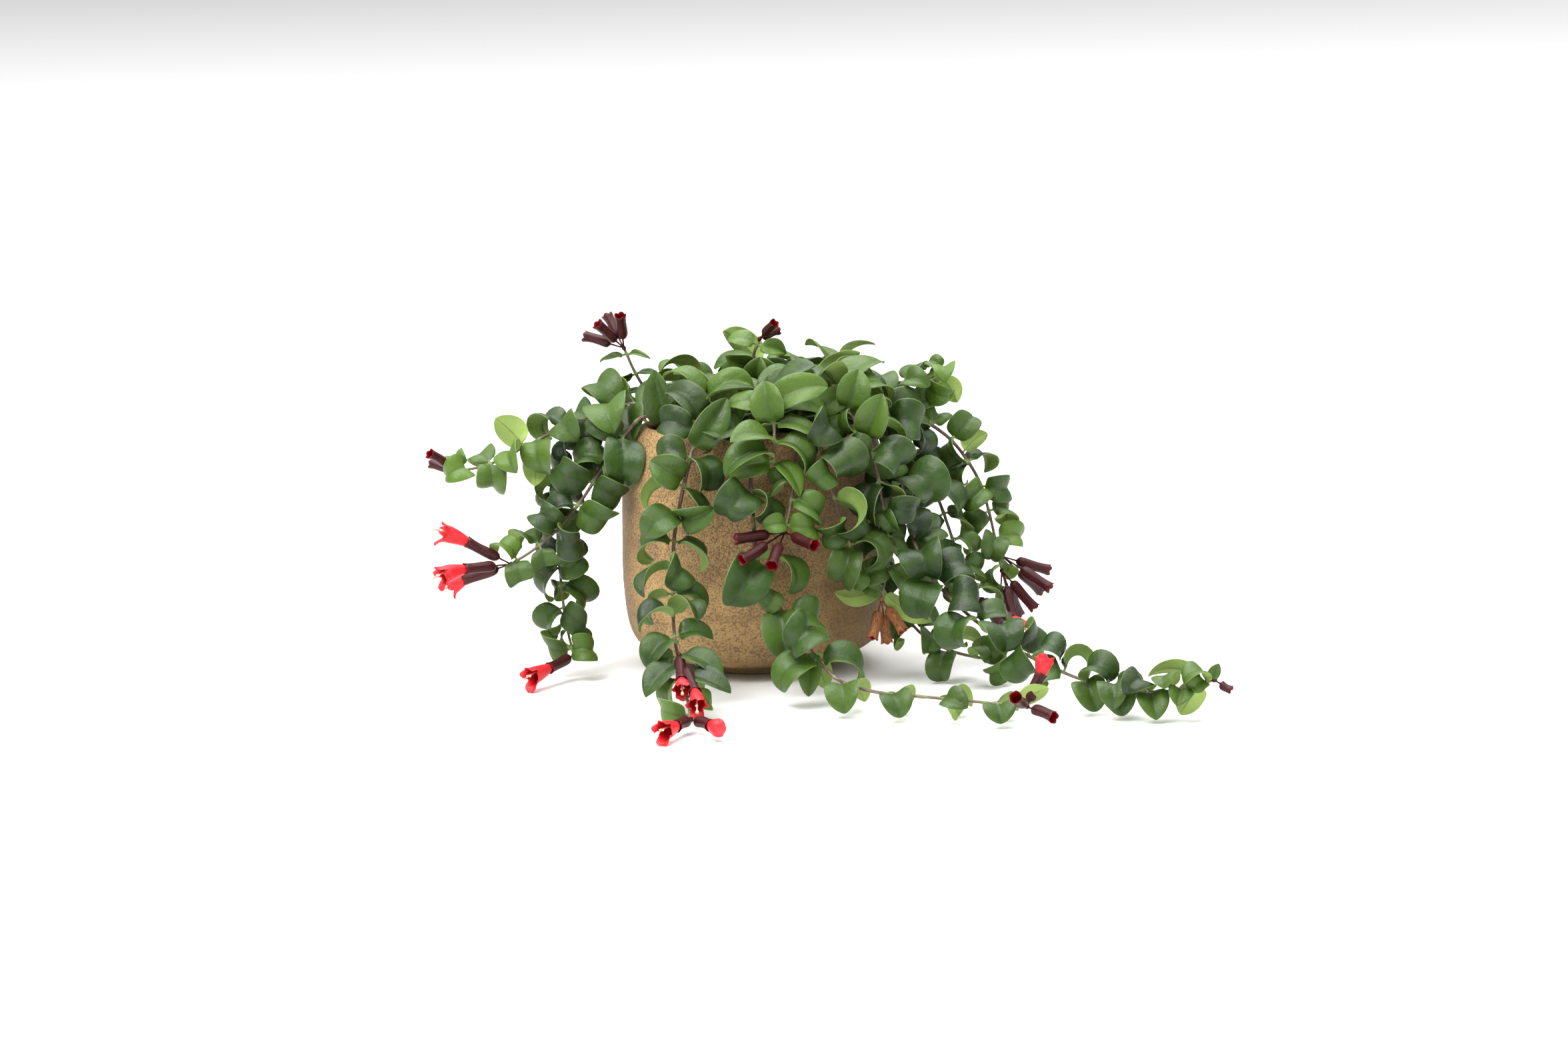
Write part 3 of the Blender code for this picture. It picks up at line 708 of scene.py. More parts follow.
def tube(path: Sequence[Vector], radii: Sequence[float], around: int) -> np.ndarray:
    """Rings of a round tube along a path.

    Args:
        path: Centres of the rings, in millimetres.
        radii: Radius of each ring.
        around: Points in each ring.

    Returns:
        The rings.
    """
    ends = [path[0] * 2 - path[1], *path, path[-1] * 2 - path[-2]]
    side = straight_cut(Vector((0.31, 0.47, 0.83)), (path[1] - path[0]).normalized())
    angles = circle(around)[:, None]
    rings = []
    for centre, radius, before, after in zip(path, radii, ends, ends[2:]):
        tangent = (after - before).normalized()
        side = straight_cut(side, tangent)
        other = np.array(tangent.cross(side))
        rings.append(np.array(centre) + radius * (np.cos(angles) * np.array(side) + np.sin(angles) * other))
    return np.stack(rings)


def spokes(axis: Vector, hint: Vector, angles: np.ndarray) -> tuple[np.ndarray, np.ndarray]:
    """Directions square to an axis.

    Args:
        axis: The axis.
        hint: The direction that angle 0 comes as near to as it can.
        angles: The directions' angles round the axis.

    Returns:
        The direction at angle 0, and a direction for each angle.
    """
    start = straight_cut(hint, axis)
    first, second = np.array(start), np.array(axis.cross(start))
    return first, np.cos(angles)[:, None] * first + np.sin(angles)[:, None] * second


class Tree(Nodes):
    """A Geometry Nodes tree while its nodes are being laid."""

    def __init__(self, name: str, **inputs: str) -> None:
        """Starts a tree that takes and gives geometry, and takes a material.

        Args:
            name: The tree's name.
            inputs: More inputs: a name and its kind of socket.
        """
        super().__init__(bpy.data.node_groups.new(name, "GeometryNodeTree"))
        for key, kind in {"Geometry": "Geometry", "Material": "Material", **inputs}.items():
            self.tree.interface.new_socket(key, in_out="INPUT", socket_type=f"NodeSocket{kind}")
        self.tree.interface.new_socket("Geometry", in_out="OUTPUT", socket_type="NodeSocketGeometry")
        self.given = self.tree.nodes.new("NodeGroupInput").outputs

    def close(self, geometry: bpy.types.Node) -> bpy.types.NodeTree:
        """Ends the tree in Realize Instances and Set Material.

        Args:
            geometry: The node that gives the geometry.

        Returns:
            The finished tree.
        """
        real = self.node("GeometryNodeRealizeInstances", {}, {0: geometry})
        dressed = self.node("GeometryNodeSetMaterial", {}, {0: real, "Material": self.given["Material"]})
        self.node("NodeGroupOutput", {}, {0: dressed})
        return self.tree


def applied(piece: bpy.types.Object, group: bpy.types.NodeTree, values: dict[str, object]) -> bpy.types.Mesh:
    """Runs a Geometry Nodes tree on an object and keeps the result as a plain mesh.

    Args:
        piece: The object that the tree reads, which is removed.
        group: The tree.
        values: The tree's inputs by name.

    Returns:
        The made mesh.
    """
    modifier = piece.modifiers.new(group.name, "NODES")
    modifier.node_group = group
    for item in group.interface.items_tree:
        if item.name in values:
            modifier[item.identifier] = values[item.name]
    graph = bpy.context.evaluated_depsgraph_get()
    mesh = bpy.data.meshes.new_from_object(piece.evaluated_get(graph), depsgraph=graph)
    bpy.data.objects.remove(piece)
    return mesh


# ---------------------------------------------------------------- pot and soil


@dataclass
class Pot:
    """Thrown stoneware pot: rounded body, rolled rim and a narrow turned foot.

    Its outlines are pairs of radius and height. A wobble is a broad unevenness of the wall, and throwing is
    the ridges that the fingers leave.
    """

    outside: Outline = (
        (50, 6.6), (62, 7.3), (72, 9.7), (80, 13.2), (87.5, 18.2), (93, 25), (97, 37), (99.3, 58), (100, 80),
        (99, 118), (97, 150), (92.5, 166), (87, 177), (82.5, 181),
    )
    inside: Outline = (
        (78.5, 180.5), (76.5, 176), (80, 166), (87, 148), (90, 115), (89, 55), (82, 26), (66, 14), (0.5, 12),
    )
    foot: Outline = ((0.5, 0.0), (48.6, 0.0), (49.8, 0.6), (50, 1.6), (50, 6.2))
    around: int = 224
    step: float = 2.6
    wobble: float = 0.45
    wobble_turn: float = 1.3
    wobble_height: float = 60.0
    throwing: float = 0.16
    throwing_height: float = 2.7
    calm_height: float = 25.0
    calm_radius: float = 60.0

    def profile(self) -> list[tuple[float, float]]:
        """The whole outline.

        Returns:
            Radius and height from the middle of the foot, up the outside and down the inside.
        """
        turned = [*self.outside, *self.inside]
        curve = smooth_points([(radius, 0, height) for radius, height in turned], self.step)
        return [*self.foot, *((point.x, point.z) for point in curve)]

    def surface(self, radius: float, height: float, angle: float) -> Point:
        """A point on the turned wall, a little uneven as a hand leaves it.

        Args:
            radius: The outline's radius there.
            height: Its height.
            angle: The angle round the pot.

        Returns:
            The point.
        """
        across, ahead = math.cos(angle), math.sin(angle)
        place = Vector((across * self.wobble_turn, ahead * self.wobble_turn, height / self.wobble_height))
        ridge = noise.noise(Vector((0.3, 0.7, height / self.throwing_height)))
        uneven = noise.noise(place) * self.wobble + ridge * self.throwing
        calm = min(1.0, height / self.calm_height) * min(1.0, radius / self.calm_radius)
        reach = max(0.2, radius + uneven * calm)
        return (across * reach, ahead * reach, height)

    def build(self) -> bpy.types.Object:
        """Throws the pot and fires it.

        Returns:
            The pot's piece.
        """
        mould = Mould()
        rings = [[self.surface(r, z, a) for a in circle(self.around)] for r, z in self.profile()]
        mould.loft(np.array(rings))
        return settle(mould.cast("pot_wall", Stoneware().material()), ["pot"])


@dataclass
class SoilBed:
    """The potting mix: an uneven bed with loose crumbs on it.

    clods and grains are pairs of width and height of the bed's unevenness, and crumbs is how many crumbs are
    strewn on a square metre.
    """

    top: float = 157.6
    sunk: float = 1.2
    radius: float = 82.3
    depth: float = 30.0
    taper: float = 4.0
    around: int = 72
    rings: int = 26
    clods: tuple[float, float] = (14.0, 1.6)
    grains: tuple[float, float] = (4.0, 0.8)
    edge: float = 6.0
    crumb_outline: Outline = ((-0.8, 0.35), (-0.4, 0.85), (0.2, 0.95), (0.75, 0.5))
    crumb_around: int = 7
    crumbs: float = 52000.0
    smallest: float = 0.5
    largest: float = 1.5
    seed: int = 7

    def height(self, x: float, y: float, reach: float) -> float:
        """The bed's height.

        Args:
            x: Place across.
            y: Place from front to back.
            reach: Distance from the middle.

        Returns:
            The height.
        """
        clod = noise.noise(Vector((x, y, 0)) / self.clods[0]) * self.clods[1]
        grain = noise.noise(Vector((x, y, 3)) / self.grains[0]) * self.grains[1]
        return self.top - self.sunk + (clod + grain) * min(1.0, (self.radius - reach) / self.edge)

    def bed(self) -> np.ndarray:
        """The bed as rings.

        Returns:
            Rings from the middle of its underside to the middle of its top.
        """
        sides = [(math.cos(angle), math.sin(angle)) for angle in circle(self.around)]
        rings = []
        for k in range(self.rings):
            reach = self.radius * max(0.01, k / (self.rings - 1))
            rings.append([(x * reach, y * reach, self.height(x * reach, y * reach, reach)) for x, y in sides])
        for reach in (self.radius - self.taper, 0.5):
            rings.append([(x * reach, y * reach, self.top - self.depth) for x, y in sides])
        return np.array(rings)[::-1]

    def crumb(self, soil: bpy.types.Material) -> bpy.types.Object:
        """One crumb, as a small rough lump.

        Args:
            soil: Its finish.

        Returns:
            The crumb, hidden.
        """
        rings = []
        for height, reach in self.crumb_outline:
            rings.append([(math.cos(a) * reach * (1 + 0.25 * math.sin(3 * a + height * 5)),
                           math.sin(a) * reach, height) for a in circle(self.crumb_around)])
        lump = Mould()
        lump.loft(np.array(rings))
        piece = lump.cast("crumb", soil)
        piece.hide_render = True
        return piece

    def scatter(self) -> bpy.types.NodeTree:
        """Lays the tree that scatters crumbs over the bed.

        Returns:
            The tree.
        """
        sizes = {"Density": "Float", "Smallest": "Float", "Largest": "Float"}
        tree = Tree("soil_crumbs", Crumb="Object", Seed="Int", **sizes)
        given = tree.given
        height = tree.parts(tree.node("GeometryNodeInputNormal"))[2]
        facing = tree.node("FunctionNodeCompare", {"operation": "GREATER_THAN"}, {0: height, 1: 0.5})
        seed = given["Seed"]
        points = tree.node("GeometryNodeDistributePointsOnFaces", {}, {
            "Mesh": given["Geometry"], "Selection": facing, "Density": given["Density"], "Seed": seed})
        crumb = tree.node("GeometryNodeObjectInfo", {}, {"Object": given["Crumb"]})
        size = tree.node("FunctionNodeRandomValue", {"data_type": "FLOAT"}, {
            2: given["Smallest"], 3: given["Largest"], "Seed": seed})
        turn = tree.node("FunctionNodeRandomValue", {"data_type": "FLOAT_VECTOR"}, {
            0: (0.0, 0.0, 0.0), 1: (6.3, 6.3, 6.3), "Seed": seed})
        return tree.close(tree.node("GeometryNodeInstanceOnPoints", {}, {
            "Points": points, "Instance": crumb.outputs["Geometry"], "Rotation": turn,
            "Scale": size.outputs[1]}))

    def build(self) -> bpy.types.Object:
        """Fills the pot.

        Returns:
            The bed's piece.
        """
        soil = PottingSoil().material()
        mould = Mould()
        mould.loft(self.bed())
        bed = settle(mould.cast("soil_bed", soil), ["potting_soil"])
        crumb = self.crumb(soil)
        mesh = applied(linked("crumb_source", bed.data.copy()), self.scatter(), {
            "Material": soil, "Crumb": crumb, "Seed": self.seed, "Density": self.crumbs,
            "Smallest": self.smallest, "Largest": self.largest})
        bpy.data.objects.remove(crumb)
        settle(new_piece("soil_crumbs", mesh, soil))
        return bed


# ---------------------------------------------------------------- stems


@dataclass(frozen=True)
class Trail:
    """A stem with its leaves: its route from the soil to the tip, and how it is clothed.

    Pairs of leaves stand pitch apart from first to the tip, and drawn is where those that chance places end.
    turn is the side of the tip that they open on. leaf and tip_leaf are a leaf's length low down and at the
    tip, curl is the least and the most that it rolls, in degrees, and cover tilts every pair further over
    the stem. youth, from 0 to 1, is how pale it is, and slim narrows it.
    """

    name: str
    route: Sequence[Point]
    turn: Point
    pitch: float = 24.0
    first: float = 26.0
    drawn: float = math.inf
    leaf: float = 48.0
    tip_leaf: float = 30.0
    curl: tuple[float, float] = (125, 265)
    cover: float = 0.0
    youth: float = 0.2
    slim: float = 1.0


# Youth differs from trail to trail partly with the leaves' age and partly as painted light: paler on the
# crown, lit from above, and darker on the low front and right trails that hang in shade.
TRAILS = (
    Trail("crown_left", ((-36, -6, 158), (-52, -10, 181), (-68, -14, 189), (-82, -17, 191)), (0, -0.4, 1),
        leaf=47, tip_leaf=42, pitch=15, curl=(20, 100), youth=0.22, slim=0.88),
    Trail("crown_front_left", ((-16, -16, 158), (-24, -26, 184), (-30, -40, 199), (-34, -53, 203)),
        (0, -0.6, 1), leaf=47, tip_leaf=44, pitch=15, curl=(30, 130), youth=0.27, slim=0.88),
    Trail("crown_front", ((4, -18, 158), (6, -36, 190), (9, -56, 206), (12, -76, 207), (14, -92, 199)),
        (0, -0.6, 1), leaf=48, tip_leaf=46, pitch=15, curl=(30, 130), youth=0.37, slim=0.88),
    Trail("crown_front_middle",
        ((12, -34, 158), (15, -62, 187), (16, -86, 194), (16, -101, 182), (15, -108, 162)), (0, -1, 0.6),
        leaf=48, tip_leaf=42, pitch=17, curl=(60, 180), youth=0.32, slim=0.88),
    Trail("crown_right", ((26, -8, 158), (38, -20, 190), (53, -36, 208), (69, -52, 210), (80, -64, 202)),
        (0.2, -0.6, 1), leaf=48, tip_leaf=46, pitch=15, curl=(30, 130), youth=0.37, slim=0.88),
    Trail("crown_back_left", ((-20, 24, 158), (-30, 34, 188), (-42, 46, 204), (-53, 57, 207)),
        (-0.2, 0.4, 1), leaf=45, tip_leaf=40, pitch=16, curl=(50, 170), youth=0.27, slim=0.88),
    Trail("crown_back", ((2, 26, 158), (4, 36, 192), (6, 50, 213), (8, 65, 217)), (0, 0.4, 1), leaf=46,
        tip_leaf=40, pitch=15, curl=(50, 170), youth=0.27, slim=0.88),
    Trail("crown_back_right", ((24, 24, 158), (36, 32, 192), (52, 43, 211), (67, 52, 214)), (0.2, 0.4, 1),
        leaf=46, tip_leaf=40, pitch=15, curl=(50, 170), youth=0.27, slim=0.88),
    Trail("trail_left_high",
        ((-44, 6, 158), (-62, 2, 184), (-86, -2, 197), (-115, -5, 190), (-140, -10, 182), (-166, -15, 170),
         (-195, -20, 157), (-216, -22, 153)), (0, -0.3, 1), curl=(120, 250), youth=0.45),
    Trail("trail_left_middle",
        ((-45, -20, 158), (-62, -26, 183), (-80, -30, 190), (-98, -34, 172), (-112, -40, 152),
         (-127, -50, 131), (-144, -56, 112), (-162, -60, 98), (-176, -63, 90)), (-0.3, -1, 0.3),
        youth=0.15),
    Trail("trail_left_floor",
        ((-50, 20, 158), (-68, 20, 184), (-88, 14, 190), (-112, 8, 174), (-132, 0, 154), (-144, -12, 128),
         (-146, -24, 100), (-144, -34, 70), (-141, -42, 42), (-136, -50, 20)), (-0.4, -1, 0), leaf=41,
        tip_leaf=34, pitch=19, youth=0),
    Trail("trail_front_left",
        ((-22, -38, 158), (-32, -62, 184), (-38, -84, 190), (-43, -99, 172), (-50, -107, 145),
         (-56, -113, 118), (-58, -126, 93), (-58, -145, 71), (-57, -166, 54), (-54, -187, 40),
         (-50, -207, 27), (-47, -225, 17), (-45, -240, 9)), (0, -0.5, 1), leaf=39, curl=(90, 210),
        youth=0.22),
    Trail("trail_front_floor",
        ((0, -42, 158), (-1, -64, 186), (-2, -86, 190), (-2, -103, 168), (-1, -112, 142), (0, -118, 114),
         (4, -123, 88), (15, -131, 66), (31, -149, 46), (45, -174, 30), (58, -195, 22), (80, -213, 18),
         (107, -226, 17), (136, -238, 16), (157, -247, 15), (178, -255, 14)), (0, -0.3, 1), leaf=50,
        cover=30, tip_leaf=42, pitch=28, youth=0.15, drawn=262),
    Trail("trail_front_short",
        ((22, -38, 158), (28, -62, 186), (31, -85, 193), (31, -100, 176), (29, -109, 156), (26, -117, 134),
         (22, -122, 118)), (0, -1, 0.3), leaf=42, pitch=22, youth=0.25),
    Trail("trail_front_cluster",
        ((30, -30, 158), (38, -54, 187), (43, -76, 193), (48, -95, 176), (54, -104, 150), (61, -108, 124),
         (69, -108, 100), (74, -107, 84)), (0.2, -1, 0.3), pitch=21, leaf=52, cover=25, tip_leaf=44,
        youth=0.1),
    Trail("trail_front_right",
        ((38, -22, 158), (46, -36, 186), (54, -50, 199), (65, -61, 197), (75, -72, 187), (83, -82, 172),
         (88, -90, 156), (91, -93, 136), (95, -94, 110), (94, -95, 84), (90, -96, 64)), (0.3, -1, 0.2),
        youth=0.2),
    Trail("trail_right_floor",
        ((52, -2, 158), (72, -5, 185), (92, -9, 188), (106, -14, 166), (109, -26, 136), (108, -36, 104),
         (106, -48, 72), (108, -63, 46), (119, -78, 32), (136, -90, 23), (153, -99, 19), (178, -108, 16)),
        (0.3, -0.5, 1), cover=20, youth=0.15),
    Trail("trail_right_long",
        ((50, -18, 158), (68, -27, 185), (88, -34, 188), (101, -42, 168), (107, -58, 136), (112, -79, 108),
         (120, -98, 87), (131, -113, 72), (145, -129, 59), (161, -146, 47), (178, -164, 37),
         (198, -184, 29), (222, -210, 22), (252, -233, 19), (278, -245, 20), (304, -250, 27)),
        (-0.2, -0.5, 1), leaf=50, cover=42, curl=(140, 250), tip_leaf=30, pitch=26, youth=0),
    Trail("trail_right_near",
        ((58, 12, 158), (78, 8, 188), (98, 2, 188), (112, -5, 171), (122, -11, 152), (131, -15, 134),
         (139, -19, 113), (145, -22, 94), (151, -27, 74), (160, -32, 54)), (0.4, -1, 0.2), leaf=40,
        youth=0.15),
    Trail("trail_right_far",
        ((52, 26, 158), (78, 22, 190), (106, 15, 191), (132, 10, 175), (147, 10, 163), (158, 8, 149),
         (168, 4, 131), (174, -1, 110), (178, -6, 90), (182, -10, 68)), (0.6, -1, 0.2), leaf=40, youth=0.3),
    Trail("shoot_left_tall",
        ((-54, 28, 158), (-64, 27, 182), (-77, 25, 200), (-87, 22, 218), (-94, 20, 235)), (-0.4, -1, 0),
        leaf=30, tip_leaf=24, pitch=20, curl=(30, 90), youth=0.1, slim=0.36),
    Trail("shoot_top", ((-8, 8, 158), (0, 10, 190), (4, 10, 214), (2, 10, 229), (6, 10, 240)), (0, -1, 0),
        leaf=40, tip_leaf=24, pitch=17, curl=(30, 140), youth=0.5),
    Trail("shoot_right_top",
        ((38, 8, 158), (58, 12, 188), (88, 15, 203), (108, 15, 206), (128, 15, 206), (140, 15, 210),
         (146, 15, 217)), (0, -0.3, 1), leaf=40, pitch=20, curl=(90, 220), youth=0.45),
    Trail("trail_back_left",
        ((-36, 40, 158), (-50, 56, 184), (-60, 73, 189), (-67, 88, 168), (-69, 98, 132), (-69, 103, 92),
         (-67, 108, 52), (-64, 120, 24)), (-0.5, 1, 0.2), leaf=42, pitch=27),
    Trail("trail_back_middle_left",
        ((-14, 46, 158), (-18, 64, 186), (-22, 84, 190), (-24, 103, 164), (-24, 112, 126), (-22, 117, 92),
         (-20, 120, 62)), (0, 1, 0.2), leaf=44, pitch=27),
    Trail("trail_back_middle_right",
        ((14, 46, 158), (20, 66, 186), (26, 85, 190), (30, 104, 164), (32, 113, 124), (34, 119, 84),
         (38, 128, 46), (46, 148, 24), (55, 175, 18), (62, 202, 17)), (0, 0.5, 1), leaf=44, pitch=27),
    Trail("trail_back_right",
        ((40, 40, 158), (52, 54, 185), (66, 70, 188), (76, 84, 164), (82, 91, 126), (84, 95, 86),
         (84, 99, 54)), (0.5, 1, 0.2), leaf=42, pitch=27),
)


@dataclass
class Stem:
    """A wiry stem that follows its trail's route, thickened where each pair of leaves leaves it.

    base and tip are its radii, knot and knot_reach how much and how far it thickens at a pair, and the
    two closeness numbers are what a trail's pitch is multiplied by outside the crown and in it.
    """

    trail: Trail
    base: float = 1.65
    tip: float = 1.0
    knot: float = 1.24
    knot_reach: float = 1.9
    last_pair: float = 3.0
    closeness: float = 0.84
    crown: float = 80.0
    crown_closeness: float = 0.62
    sample: float = 1.0
    sides: int = 10
    rough: float = 0.00016
    rough_scale: float = 420.0

    def __post_init__(self) -> None:
        """Finds the centre line, the frame carried along it and where the pairs of leaves sit."""
        self.points = smooth_points(self.trail.route, self.sample)
        steps = [(b - a).length for a, b in zip(self.points, self.points[1:])]
        self.distances = np.concatenate([[0.0], np.cumsum(steps)])
        self.length = float(self.distances[-1])
        ends = [self.points[0] * 2 - self.points[1], *self.points, self.points[-1] * 2 - self.points[-2]]
        self.tangents = [(c - a).normalized() for a, c in zip(ends, ends[2:])]
        self.tangents[0] = UP.copy()
        self.normals = [straight_cut(Vector(self.trail.turn), self.tangents[-1])]
        for tangent in reversed(self.tangents[:-1]):
            self.normals.insert(0, straight_cut(self.normals[0], tangent))
        self.pairs = [self.length - self.last_pair]
        while self.pairs[-1] > self.trail.first:
            close = self.crown_closeness if self.pairs[-1] < self.crown else self.closeness
            self.pairs.append(self.pairs[-1] - close * self.trail.pitch)
        self.pairs = self.pairs[-2::-1]

    def at(self, distance: float) -> tuple[Vector, Vector, Vector]:
        """Point, tangent and outward side of the stem at a distance from the soil."""
        i = int(np.abs(self.distances - distance).argmin())
        return self.points[i], self.tangents[i], self.normals[i]

    def radius(self, distance: float | np.ndarray) -> float | np.ndarray:
        """The stem's radius at distances from the soil."""
        return self.base + (self.tip - self.base) * distance / self.length

    def line(self) -> bpy.types.Object:
        """Lays the centre line as a chain of edges that carries numbers for the sweep and the bark.

        Returns:
            The line.
        """
        mesh = bpy.data.meshes.new("stem_line")
        path = metres(np.array(self.points))
        mesh.from_pydata(path.tolist(), [(i, i + 1) for i in range(len(path) - 1)], [])
        near = np.abs(self.distances[:, None] - np.array(self.pairs)[None]).min(axis=1)
        node = np.exp(-((near / self.knot_reach) ** 2))
        numbers = {
            "girth": self.radius(self.distances) * (1 + (self.knot - 1) * node) * MM,
            "node": node,
            "tip": self.distances / self.length,
            "run": self.distances * MM,
        }
        for name, values in numbers.items():
            mesh.attributes.new(name, "FLOAT", "POINT").data.foreach_set("value", values.astype(np.float32))
        return linked("stem_line", mesh)

    @staticmethod
    def sweep() -> bpy.types.NodeTree:
        """Lays the tree that sweeps a round, slightly uneven stem along a chain of edges.

        Returns:
            The tree, the same one each time.
        """
        found = bpy.data.node_groups.get("stem_sweep")
        if found:
            return found
        tree = Tree("stem_sweep", Sides="Int", Unevenness="Float", Clouds="Float")
        given = tree.given
        girth = tree.node("GeometryNodeInputNamedAttribute", {"data_type": "FLOAT"}, {"Name": "girth"})
        curve = tree.node("GeometryNodeMeshToCurve", {}, {0: given["Geometry"]})
        profile = tree.node("GeometryNodeCurvePrimitiveCircle", {}, {
            "Resolution": given["Sides"], "Radius": 1.0})
        place = tree.node("GeometryNodeInputPosition")
        kind = {"data_type": "FLOAT_VECTOR", "domain": "POINT"}
        marked = tree.node("GeometryNodeStoreNamedAttribute", kind, {
            "Geometry": profile, "Name": "round", "Value": place})
        swept = tree.node("GeometryNodeCurveToMesh", {}, {
            "Curve": curve, "Profile Curve": marked, "Scale": girth, "Fill Caps": True})
        clouds = tree.node("ShaderNodeTexNoise", {}, {
            "Vector": place, "Scale": given["Clouds"], "Detail": 1.0})
        raised = (Value(tree, clouds.outputs[0]) - 0.5) * Value(tree, given["Unevenness"])
        offset = tree.node("ShaderNodeVectorMath", {"operation": "SCALE"}, {
            0: tree.node("GeometryNodeInputNormal"), "Scale": raised})
        moved = tree.node("GeometryNodeSetPosition", {}, {"Geometry": swept, "Offset": offset})
        return tree.close(tree.node("GeometryNodeSetShadeSmooth", {}, {0: moved, "Shade Smooth": True}))

    def build(self, material: bpy.types.Material) -> bpy.types.Object:
        """Sweeps the stem along its line.

        Args:
            material: The bark.

        Returns:
            The stem's piece.
        """
        mesh = applied(self.line(), self.sweep(), {
            "Material": material, "Sides": self.sides, "Unevenness": self.rough, "Clouds": self.rough_scale})
        return settle(new_piece(f"{self.trail.name}_stem", mesh, material), [self.trail.name])


# ---------------------------------------------------------------- leaves


class Groove:
    """How a blade's section slopes: level at the midrib, steep a quarter out and drooping at the margin."""

    steps = 200
    midrib = 0.11
    droop = 1.1
    reaches = np.linspace(0, 1, steps + 1)
    slopes = (1 - np.exp(-((reaches / midrib) ** 2))) * (1 - droop * reaches**2)
    lifts = np.concatenate([[0.0], np.cumsum((slopes[1:] + slopes[:-1]) / 2) / steps])
    squares = np.concatenate([[0.0], np.cumsum((slopes[1:] ** 2 + slopes[:-1] ** 2) / 2) / steps])

    @classmethod
    def slope(cls, reach: np.ndarray) -> np.ndarray:
        """The slope at places from 0, the midrib, to 1, the margin, as a share of the steepest."""
        return np.interp(reach, cls.reaches, cls.slopes)

    @classmethod
    def lift(cls, reach: np.ndarray) -> np.ndarray:
        """How far the section has risen, for a steepest slope of 1."""
        return np.interp(reach, cls.reaches, cls.lifts)

    @classmethod
    def narrowing(cls, reach: np.ndarray) -> np.ndarray:
        """How much the section has drawn in, for a steepest slope of 1."""
        return np.interp(reach, cls.reaches, cls.squares) / 2


@dataclass(frozen=True)
class Leaf:
    """A thick blade on a short stalk, curled back in a ring round its own underside.

    It starts at seat, heads out and looks to face. It is straight for its reach and then turns by curl in
    all, tightening as it goes, with a sideways spiral and a twist. fold is the rise of its halves, lean the
    difference between them and wave the ripple of its margin. fullest, blunt and tapered shape its outline.
    """

    seat: Vector
    out: Vector
    face: Vector
    length: float
    width: float
    reach: float
    curl: float
    fold: float
    wave: float
    youth: float
    spiral: float = 0.0
    twist: float = 0.0
    lean: float = 0.0
    tone: float = 0.5
    steps: int = 96
    stalk: float = 3.4
    stalk_radius: float = 0.85
    thickness: float = 1.25
    thinning: float = 0.75
    thin_margin: float = 0.86
    tightening: float = 1.2
    opening: float = 0.14
    fullest: float = 0.82
    blunt: float = 0.42
    tapered: float = 0.32

    def midrib(self, share: np.ndarray) -> tuple[np.ndarray, np.ndarray, np.ndarray]:
        """The midrib and the frame on it.

        Args:
            share: Shares of the whole length, rising from 0.

        Returns:
            Points, upward normals and sideways axes.
        """
        out, face = np.array(self.out), np.array(self.face)
        axis = np.array(self.out.cross(self.face))
        fine = np.linspace(0, 1, self.steps + 1)
        bent = np.clip((fine * self.length - self.reach) / (self.length - self.reach), 0, 1)
        turn = self.curl * bent**self.tightening
        heading = np.cos(turn)[:, None] * out - np.sin(turn)[:, None] * face
        middle = (heading[1:] + heading[:-1]) / 2 * self.length / self.steps
        path = np.concatenate([np.zeros((1, 3)), np.cumsum(middle, axis=0)])
        path += np.array(self.seat) + (self.spiral * bent)[:, None] * axis
        points = np.stack([np.interp(share, fine, path[:, k]) for k in range(3)], axis=1)
        angle = np.interp(share, fine, turn)
        flat = np.cos(angle)[:, None] * face + np.sin(angle)[:, None] * out
        tilt = (self.twist * np.interp(share, fine, bent))[:, None]
        return points, flat * np.cos(tilt) - axis * np.sin(tilt), axis * np.cos(tilt) + flat * np.sin(tilt)

    def half_width(self, blade: np.ndarray) -> np.ndarray:
        """Half the blade's width, measured over its curve, at shares of the blade's length."""
        shape = np.sin(math.pi * np.clip(blade, 0, 1) ** self.fullest) ** (self.blunt + self.tapered * blade)
        return self.stalk_radius * (1 - blade) + self.width / 2 * shape

    def rings(self, blade: np.ndarray, across: np.ndarray, swell: float = 0.0) -> np.ndarray:
        """Closed sections of the blade.

        Args:
            blade: Shares of the blade's length, below 0 on the stalk.
            across: Places across the section, from -1 at one margin to 1 at the other.
            swell: Added thickness all round.

        Returns:
            Rings: the upper side from margin to margin, then the lower side back.
        """
        stalk = self.stalk / self.length
        points, normals, sides = self.midrib(stalk + (1 - stalk) * blade)
        whole = np.clip(blade, 0, 1)
        ease = np.clip(whole / self.opening, 0, 1)
        ease = ease * ease * (3 - 2 * ease)
        half = np.where(blade > 0, self.half_width(whole), self.stalk_radius)
        reach = np.abs(across)[None]
        side = np.sign(across)[None]
        steep = (self.fold / Groove.lift(np.array(1.0)) * ease)[:, None] * (1 + self.lean * side)
        angle = steep * Groove.slope(reach)
        sideways = reach - steep**2 * Groove.narrowing(reach)
        ripple = self.wave * np.sin(9.0 * whole[:, None] + 2.6 * across[None] + 40 * self.tone) * reach**2
        thick = self.thickness / 2 * (1 - self.thinning * whole**3)
        round_cut = self.stalk_radius * np.sqrt(np.maximum(0.0, 1 - reach**2)) * (1 - ease[:, None])
        cut = thick[:, None] * np.sqrt(1 - self.thin_margin * reach**2) * ease[:, None] + round_cut + swell
        push = half[:, None] + swell
        middle = points[:, None] + sides[:, None] * (side * sideways * push)[..., None]
        lift = steep * Groove.lift(reach) * push + ripple * ease[:, None]
        middle = middle + normals[:, None] * lift[..., None]
        sheer = normals[:, None] * np.cos(angle)[..., None]
        sheer = (sheer - sides[:, None] * (side * np.sin(angle))[..., None]) * cut[..., None]
        return np.concatenate([middle + sheer, (middle - sheer)[:, ::-1]], axis=1)


